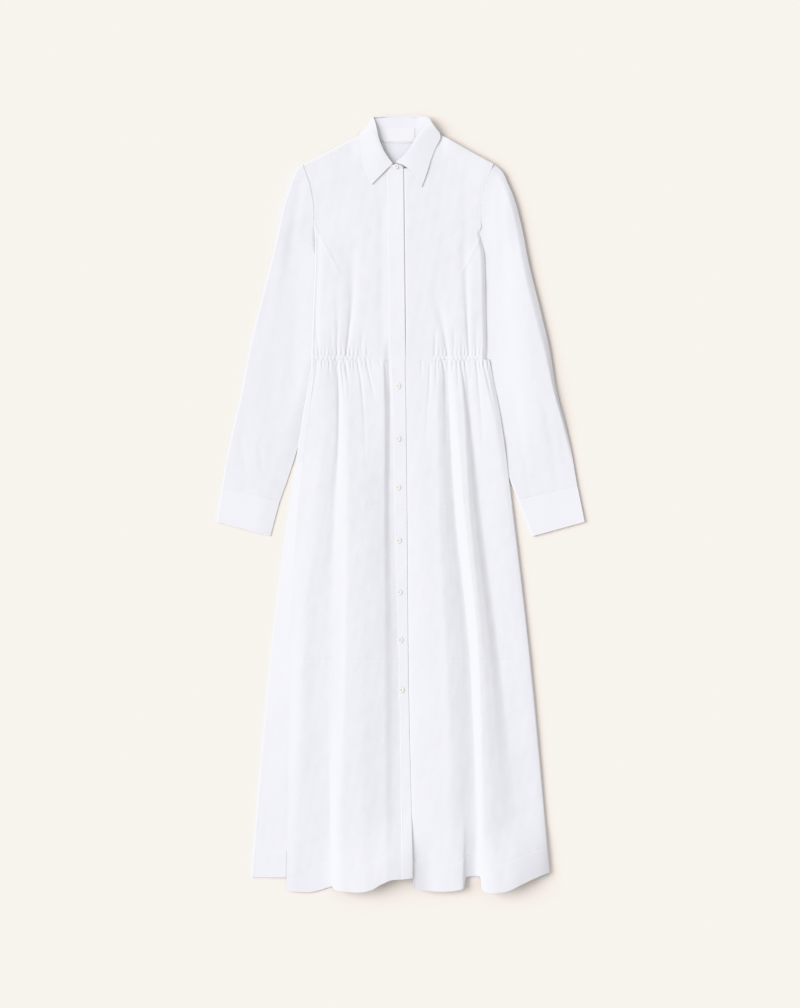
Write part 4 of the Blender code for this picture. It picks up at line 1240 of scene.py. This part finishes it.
def sleeve_ring(side, station, turns, kind):
    """A ring round a sleeve or a cuff: over the top from the outer edge, and back underneath."""
    at, tuck = max(0.0, station), max(0.0, -station)
    across = (1 - np.cos(turns)) / 2
    x, y, width = ring_plan(side, station, across, kind)
    near = np.minimum(across, 1 - across) * width
    level = 0 * x + CUFF_HEIGHT[side]
    if kind == "sleeve":
        free = sleeve_level(x, y, side)
        level = free + (level - free) * float(ease((at - 7.5) / 3.2))
    top = to_rims(side, at, level, across * width, (1 - across) * width)
    if kind == "sleeve":
        relief = waves(x, y, 1.0) * 0.8 - creased(x, y, SLEEVE_VALLEYS[side])
        under_bodice = 0.15 * (1 - float(ease((station + 0.02) / 0.2))) + 3.0 * float(ease(tuck / 0.15))
        top = top + relief * rounded(near, 14.0) - under_bodice - 0.25 * float(ease((at - 10.9) / 0.08))
    else:
        top = top + waves(x, y, 2.0) * 0.5 * rounded(near, 14.0)
        top = top - 0.15 * (1 - rounded(np.array((at - CUFF_SEAM) * 68), 1.5))
    bottom = 0.15 * (1 - rounded(near, 3.0))
    z = np.where(turns <= np.pi, np.maximum(top, bottom + 1.4), bottom)
    return np.stack((x, y, z), axis=1)

# %% Sleeves and cuffs
SLEEVE_STATIONS = np.concatenate((
    (-1, -0.5, -0.15), np.arange(0, 0.3, 0.03), np.arange(0.3, 10.6, 0.1),
    (10.6, 10.7, 10.78, 10.84, 10.88, 10.91, 10.94, 10.97, 11.03),
))
CUFF_STATIONS = (
    11.0, 11.01, 11.03, 11.07, 11.12, 11.2, 11.3, 11.4, 11.5, 11.6, 11.7, 11.8, 11.88, 11.94, 11.98, 12.0,
)


def tube(side, stations, count, kind):
    """Rings at all stations, in the order that turns the cloth's outer face out."""
    turns = 2 * np.pi * np.arange(count + 1) / count
    rings = np.array([sleeve_ring(side, station, turns, kind) for station in stations])
    return rings[::-1] if side < 0 else rings


cuffs = {}
for side, name in SIDES:
    cloth_piece("sleeve_" + name, tube(side, SLEEVE_STATIONS, 128, "sleeve"), ring=True)
    cuffs[side] = cloth_piece(
        "cuff_" + name, tube(side, CUFF_STATIONS, 96, "cuff"), band_cotton, wall=1.0, ring=True
    )

# %% [markdown]
# ## Collar
# A shirt collar has two parts: a stand, sewn round the neck, and a leaf that folds over the stand's top
# and lies on the shoulders and fronts.  Sections along the collar say where the neck seam, the roll line
# and the leaf's outer edge are.

# %% Sections of the collar
# name; x, y, z of the neck seam, of the roll line, of the cloth just past the roll, of the outer edge
COLLAR_SECTIONS = (
    ("right front", (-20, 607, 7.4), (-14, 613, 8.4), (-24, 603, 8.0), (-52, 575, 7.0)),
    ("right tip", (-28, 613, 7.4), (-19, 619, 9.0), (-27, 614, 8.9), (-62, 591, 7.1)),
    ("right leaf", (-36, 622, 7.4), (-28, 632, 10.2), (-33, 631, 10.6), (-68, 612, 7.4)),
    ("right neck", (-48, 641, 7.2), (-35, 647, 10.8), (-40, 648, 11.4), (-71, 638, 8.2)),
    ("right side", (-57, 656, 6.6), (-40, 662, 11.0), (-46, 664, 11.6), (-75, 658, 8.4)),
    ("right shoulder", (-61, 669, 5.4), (-44, 681, 10.2), (-54, 678, 9.6), (-69.5, 670.5, 5.4)),
    ("right turn", (-50, 662, 3.8), (-49, 696.5, 7.6), (-56, 689.5, 6.2), (-56, 672, 1.2)),
    ("right back", (-27, 652, 2.9), (-27, 696.6, 5.6), (-28, 698.6, 4.4), (-27, 659, 0.7)),
    ("centre back", (0, 650, 2.8), (0, 696.8, 5.2), (0, 698.6, 4.2), (0, 657, 0.7)),
    ("left back", (27, 652, 2.9), (26, 696.6, 6.2), (27, 698.8, 5.6), (27, 659, 0.7)),
    ("left turn", (50, 662, 3.8), (47, 697, 12.0), (53, 692, 12.6), (58, 674, 4.6)),
    ("left shoulder", (61, 669, 5.4), (42, 684, 13.0), (56, 681.5, 13.8), (68, 671, 11.0)),
    ("left side", (57, 656, 6.6), (36, 672, 12.2), (44, 673, 12.8), (72, 660, 9.4)),
    ("left neck", (48, 641, 7.2), (26, 656, 11.2), (32, 657, 11.8), (62, 638, 8.0)),
    ("left leaf", (36, 622, 7.4), (14, 637, 10.2), (20, 637, 10.4), (54, 617, 7.4)),
    ("left tip", (26, 610, 7.4), (3, 625, 9.2), (10, 624, 9.5), (47, 594, 7.2)),
    ("left front", (16, 606, 7.4), (-9, 615, 8.5), (8, 608, 8.8), (38, 570, 7.1)),
)
STAND_END = ((4, 604.6, 6.9), (0, 610, 7.6))  # right end of the stand, which laps over the left
BACK_CLEARANCE = 0.1
FRONT_CLEARANCE = 3.4
COLLAR_WALL = 1.0


def collar_section(share):
    """Neck, roll, turn and edge of the collar at a share of its length, from right tip to left tip."""
    rows = np.array([row[1:] for row in COLLAR_SECTIONS], float)
    index = np.arange(len(rows))
    return np.array([[pchip(index, rows[:, p, a], share * index[-1]) for a in range(3)] for p in range(4)])


print(len(COLLAR_SECTIONS), "sections of the collar")


# %% Leaf and stand
def leaf_row(share):
    """Points of the leaf from the roll line to its outer edge."""
    _, roll, turn, edge = collar_section(share)
    at = np.concatenate((np.linspace(0, 0.22, 10), np.linspace(0.25, 1.0, 22)))
    return np.stack([pchip((0.0, 0.22, 1.0), (roll[a], turn[a], edge[a]), at) for a in range(3)], axis=1)


def straight(start, end, shares):
    """Points on the lines from start to end."""
    return start + (end - start) * shares


UP_STAND = np.linspace(0, 1, 10)[:, None]


def stand_row(share):
    """Points of the stand from the neck seam up to just under the roll line."""
    neck, roll, _, _ = collar_section(share)
    under_leaf = float(ease((abs(share - 0.5) - 0.04) / 0.07))
    clearance = BACK_CLEARANCE + (FRONT_CLEARANCE - BACK_CLEARANCE) * under_leaf
    top = roll - (roll - neck) / np.linalg.norm(roll - neck) * clearance - (0, 0, 0.9 * under_leaf)
    return straight(neck, top, UP_STAND)


collar_shares = np.linspace(0, 1, 161)
stand_rows = [stand_row(share) for share in collar_shares]
lap_end = straight(*np.array(STAND_END), UP_STAND)
lap = [straight(lap_end, stand_rows[0], t) for t in np.linspace(0, 1, 7)[:-1]]
leaf, stand = (
    cloth_piece(node, rows, band_cotton, wall=COLLAR_WALL, offset=0.0)
    for node, rows, below in (
        ("collar_leaf", [leaf_row(share) for share in collar_shares], "collar_stand"),
        ("collar_stand", lap + stand_rows, "bodice_back"),
    )
)

# %% Bare label
LABEL_WIDTH = 51.0


def label_row(t):
    """A row of the neck label, at a share of the stand's height.  The label carries no words."""
    section_run = COLLAR_SECTIONS[9][1][0]  # from the centre back to the next section
    row = []
    for x in np.linspace(-LABEL_WIDTH / 2, LABEL_WIDTH / 2, 24):
        neck, roll, _, _ = collar_section(0.5 + x / section_run / (len(COLLAR_SECTIONS) - 1))
        row.append(straight(neck, roll, t) + (0, 0, COLLAR_WALL / 2 + 0.1 + 0.3))
    return row


label_rows = [label_row(t) for t in np.linspace(0.06, 0.58, 9)]
label = cloth_piece("neck_label", label_rows, label_satin, wall=0.3)

# %% [markdown]
# ## Buttons
# The buttons are small discs of pearl with a raised rim and four holes.  Half of a section is turned
# round the axis with spin.  Thread crosses between the holes.

# %% Pearl
pearl, tree, pearl_shader = new_finish(
    "white pearl button", {"Roughness": 0.28, "Coat Weight": 0.3, "Coat Roughness": 0.15}
)
swirl = add_node(tree, "TexNoise", {"Vector": object_place(tree), "Scale": 260.0, "Distortion": 1.6})
nacre = add_node(tree, "ValToRGB", {"Fac": swirl.outputs["Fac"]})
nacre.color_ramp.elements[0].color = (0.78, 0.755, 0.715, 1.0)
nacre.color_ramp.elements[1].color = (0.84, 0.815, 0.775, 1.0)
feed(tree, pearl_shader, {"Base Color": nacre.outputs["Color"]})
print("pearl:", pearl.name)

# %% Turned discs with four holes
BUTTON_HEIGHT = 0.85
WELL = 0.84  # height of the sunk middle, as a share of the button's height
HOLE_RADIUS = 0.6
HOLE_OFFSET = 1.45
# shares of the radius and of the height, from the middle of the underside round to the sunk middle
PROFILE = (
    (0.86, 0.0), (0.97, 0.3), (1.0, 0.6), (0.95, 0.93), (0.86, 1.0), (0.76, 0.98), (0.62, WELL),
)


def turned_disc(name, radius):
    """A disc without holes, turned from its section."""
    rim = [(r * radius, h * BUTTON_HEIGHT) for r, h in PROFILE]
    section = [(0.02, 0.0), *rim, (0.02, WELL * BUTTON_HEIGHT)]
    bm = bmesh.new()
    corners = [bm.verts.new((r * MM, 0.0, h * MM)) for r, h in section]
    edges = [bm.edges.new(pair) for pair in zip(corners, corners[1:])]
    bmesh.ops.spin(
        bm, geom=corners + edges, cent=(0, 0, 0), axis=(0, 0, 1), angle=2 * np.pi, steps=40, use_merge=True
    )
    bmesh.ops.remove_doubles(bm, verts=bm.verts, dist=0.00003)
    bmesh.ops.holes_fill(bm, edges=[edge for edge in bm.edges if edge.is_boundary], sides=0)
    bmesh.ops.recalc_face_normals(bm, faces=bm.faces)
    return placed(name, bm, pearl)


def drill(disc):
    """Cut the four holes for the thread."""
    bm = bmesh.new()
    for corner_x, corner_y in ((1, 1), (-1, 1), (-1, -1), (1, -1)):
        x, y = (corner * HOLE_OFFSET * 0.7 * MM for corner in (corner_x, corner_y))
        middle = (x, y, BUTTON_HEIGHT / 2 * MM)
        bmesh.ops.create_cone(
            bm, cap_ends=True, segments=14, radius1=HOLE_RADIUS * MM, radius2=HOLE_RADIUS * MM,
            depth=2 * BUTTON_HEIGHT * MM, matrix=Matrix.Translation(middle),
        )
    cutter = placed(disc.name + "_holes", bm, smooth=False)
    cut = disc.modifiers.new("holes", "BOOLEAN")
    cut.object = cutter
    cut.solver = "EXACT"
    drilled = bpy.data.meshes.new_from_object(disc.evaluated_get(bpy.context.evaluated_depsgraph_get()))
    disc.modifiers.clear()
    disc.data = drilled
    bpy.data.objects.remove(cutter)


# %% Buttons on the cloth
def surface(piece):
    """A tree of a piece's finished faces, for plumb lines."""
    return BVHTree.FromObject(piece, bpy.context.evaluated_depsgraph_get())


def plumb(ground, x, y):
    """Where a plumb line from above meets a surface, and the normal there."""
    return ground.ray_cast(Vector((x, y, 0.1)), Vector((0, 0, -1)))[:2]


button_ground = [surface(piece) for piece in (*bands, stand)]
button_tops = []
for node in (*(f"skirt_button_{number}" for number in range(1, 8)), "neck_button"):
    low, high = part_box(node)
    middle = (low + high) / 2
    hits = [plumb(ground, middle.x, middle.y)[0] for ground in button_ground]
    middle.z = max(hit.z for hit in hits if hit is not None) + 0.1 * MM
    disc = turned_disc(node + "_pearl", 4.5 if node == "neck_button" else 5.5)
    drill(disc)
    disc.data.transform(Matrix.Translation(middle))
    disc.data.set_sharp_from_angle(angle=np.radians(38))
    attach(disc, "root")
    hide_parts(node)
    button_tops.append(middle + Vector((0, 0, WELL * BUTTON_HEIGHT * MM)))
print(len(button_tops), "buttons")

# %% [markdown]
# ## Stitches
# A line of stitches is a row of short thread beads pressed into the cloth.  Each is dropped from above
# on to the panel it is sewn through, and lies along its surface.

# %% Sewing by machine
LENGTHWISE = Matrix.Rotation(np.pi / 2, 4, "Y")  # lays a ball's poles along a stitch


def stitch_ends(line, pitch, long):
    """x, y in mm of both ends of every stitch along a line."""
    line = np.asarray(line, float)
    steps = np.linalg.norm(np.diff(line, axis=0), axis=1)
    travelled = np.concatenate(([0.0], np.cumsum(steps)))
    for stop in np.arange(pitch / 2, travelled[-1], pitch):
        yield [
            [float(np.interp(stop + shift, travelled, line[:, axis])) for axis in (0, 1)]
            for shift in (-long / 2, long / 2)
        ]


def stitches(name, runs, pitch=3.0, long=2.3, thick=0.42):
    """One piece with a bead for every stitch; runs are (cloth piece, [(x, y), ...]) in mm."""
    grounds = {cloth: surface(cloth) for cloth in dict.fromkeys(cloth for cloth, _ in runs)}
    bm = bmesh.new()
    count = 0
    for cloth, line in runs:
        for ends in stitch_ends(line, pitch, long):
            (start, start_up), (end, end_up) = (plumb(grounds[cloth], x * MM, y * MM) for x, y in ends)
            if start is None or end is None:
                continue
            along = (end - start).normalized()
            side = (start_up + end_up).normalized().cross(along).normalized()
            up = along.cross(side)
            place = Matrix.Translation((start + end) / 2 + up * 0.02 * MM)
            turn = Matrix((along, side, up)).transposed().to_4x4()
            shape = Matrix.Diagonal((long / 2 * MM, thick / 2 * MM, thick * 0.4 * MM, 1.0))
            bmesh.ops.create_uvsphere(
                bm, u_segments=6, v_segments=4, radius=1.0, matrix=place @ turn @ shape @ LENGTHWISE
            )
            count += 1
    sewn = placed(name, bm, thread)
    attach(sewn, "root")
    print(f"{name}: {count} stitches")


# %% Seams of the bodice
def armhole_line(side, inset):
    heights = np.linspace(ARMPIT + 4, SHOULDER_TIP - 3, 16)
    return [(x - side * inset, y) for x, y in side_edge(heights, side)]


def shoulder_line(side, inset):
    return [(x, y - inset) for x, y in upper_edge(np.linspace(0.56, 0.99, 14), side)]


bodice_runs = []
for side, panel in bodice_fronts.items():
    bodice_runs += [(panel, armhole_line(side, inset)) for inset in (1.8, 7.5)]
    bodice_runs.append((panel, shoulder_line(side, 6.5)))
stitches("bodice_seam_stitches", bodice_runs)


# %% Edges of the bands
def along_fold(index, shift):
    """The plan of a right fold line of the skirt from the waist down, shifted sideways."""
    return [(float(fold_at(RIGHT_SKIRT_FOLDS[index], y)[0]) + shift, y) for y in np.arange(256, -670, -6.0)]


band_heights = np.linspace(WAIST + 3, 597, 30)
band_runs = [
    (bands[0], [(band_edge(y) - inset, y) for y in band_heights]) for inset in (1.6, BAND_WIDTH - 1.6)
]
band_runs += [(bands[1], along_fold(BAND_RIGHT, -1.6)), (bands[1], along_fold(BAND_LEFT, 1.6))]
stitches("band_stitches", band_runs)


# %% Seams of the skirt
def across_cloth(x_start, x_end, y):
    return [(x, y) for x in np.linspace(x_start, x_end, 40)]


def hem_line(folds, first, last):
    """The sewn line of the hem from one fold line to another."""
    index = np.linspace(first, last, 90)
    ys = [fold[-1] + HEM_DEPTH / LOWER_TIER * (KNEE_SEAM - fold[-1]) for fold in folds]
    xs = [float(fold_at(fold, y)[0]) for fold, y in zip(folds, ys)]
    keys = np.arange(len(folds))
    return list(zip(pchip(keys, xs, index), pchip(keys, ys, index)))


tier_runs = []
for seam_y, tier in ((THIGH_SEAM, "upper"), (KNEE_SEAM, "middle")):
    for side, first, last in ((-1, 0, 11), (1, 2, 16)):
        start, end = (float(fold_at(SKIRT_FOLDS[side][index], seam_y)[0]) for index in (first, last))
        tier_runs.append((skirt_fronts[side, tier], across_cloth(start + 2, end - 2, seam_y + 2.6)))
stitches("tier_seam_stitches", tier_runs)

hem_runs = [
    (skirt_fronts[side, "lower"], hem_line(SKIRT_FOLDS[side], first, last))
    for side, first, last in ((-1, 0.1, 11), (1, 1.5, 16.8))
]
stitches("hem_stitches", hem_runs)

casing_runs = []
for line in CASING_LINES[1:]:
    casing_runs += [
        (bodice_fronts[-1], across_cloth(-156, -58, line)), (bodice_fronts[1], across_cloth(61, 152, line))
    ]
casing_runs += [
    (skirt_fronts[-1, "upper"], across_cloth(-156, -24, CASING_LINES[0])),
    (skirt_fronts[1, "upper"], across_cloth(14, 152, CASING_LINES[0])),
]
stitches("casing_stitches", casing_runs)

# %% Cuffs and collar
trim_runs = []
for side, cuff in cuffs.items():
    for at in (11.06, 11.92):
        outer, inner = np.reshape(sleeve_line(side, at), (2, 2))
        trim_runs.append((cuff, [straight(outer, inner, t) for t in np.linspace(0.05, 0.95, 24)]))
leaf_line = []
for share in np.linspace(0.006, 0.994, 120):
    _, _, turn, edge = collar_section(share)
    leaf_line.append((edge + (turn - edge) / np.linalg.norm(turn - edge) * 5.0)[:2])
trim_runs += [(leaf, leaf_line[:40]), (leaf, leaf_line[-40:])]
for share in (0.02, 0.98):
    _, _, turn, edge = collar_section(share)
    trim_runs.append((leaf, [straight(turn, edge, t)[:2] for t in np.linspace(0.05, 0.85, 12)]))
stitches("cuff_and_collar_stitches", trim_runs)

# %% Label corners and button thread
LABEL_INSET = 1.2

x_left, x_right = -LABEL_WIDTH / 2 + LABEL_INSET, LABEL_WIDTH / 2 - LABEL_INSET
label_low, label_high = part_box("neck_label")
y_low, y_high = 1000 * label_low.y + LABEL_INSET, 1000 * label_high.y - LABEL_INSET
label_runs = [(label, [(x_left, y), (x_right, y)]) for y in (y_low, y_high)]
label_runs += [(label, [(x, y_low), (x, y_high)]) for x in (x_left, x_right)]
stitches("label_stitches", label_runs, pitch=2.2, long=1.6, thick=0.3)

strand = Matrix.Diagonal((1.25 * MM, 0.2 * MM, 0.22 * MM, 1.0)) @ LENGTHWISE
bm = bmesh.new()
for top in button_tops:
    place = Matrix.Translation(top + Vector((0, 0, 0.12 * MM)))
    for angle in (45, 135):
        turn = Matrix.Rotation(np.radians(angle), 4, "Z")
        for shift in (-0.35, 0.0, 0.35):
            matrix = place @ turn @ Matrix.Translation((0, shift * MM, 0)) @ strand
            bmesh.ops.create_uvsphere(bm, u_segments=8, v_segments=8, radius=1.0, matrix=matrix)
button_thread = placed("button_thread", bm, thread)
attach(button_thread, "root")
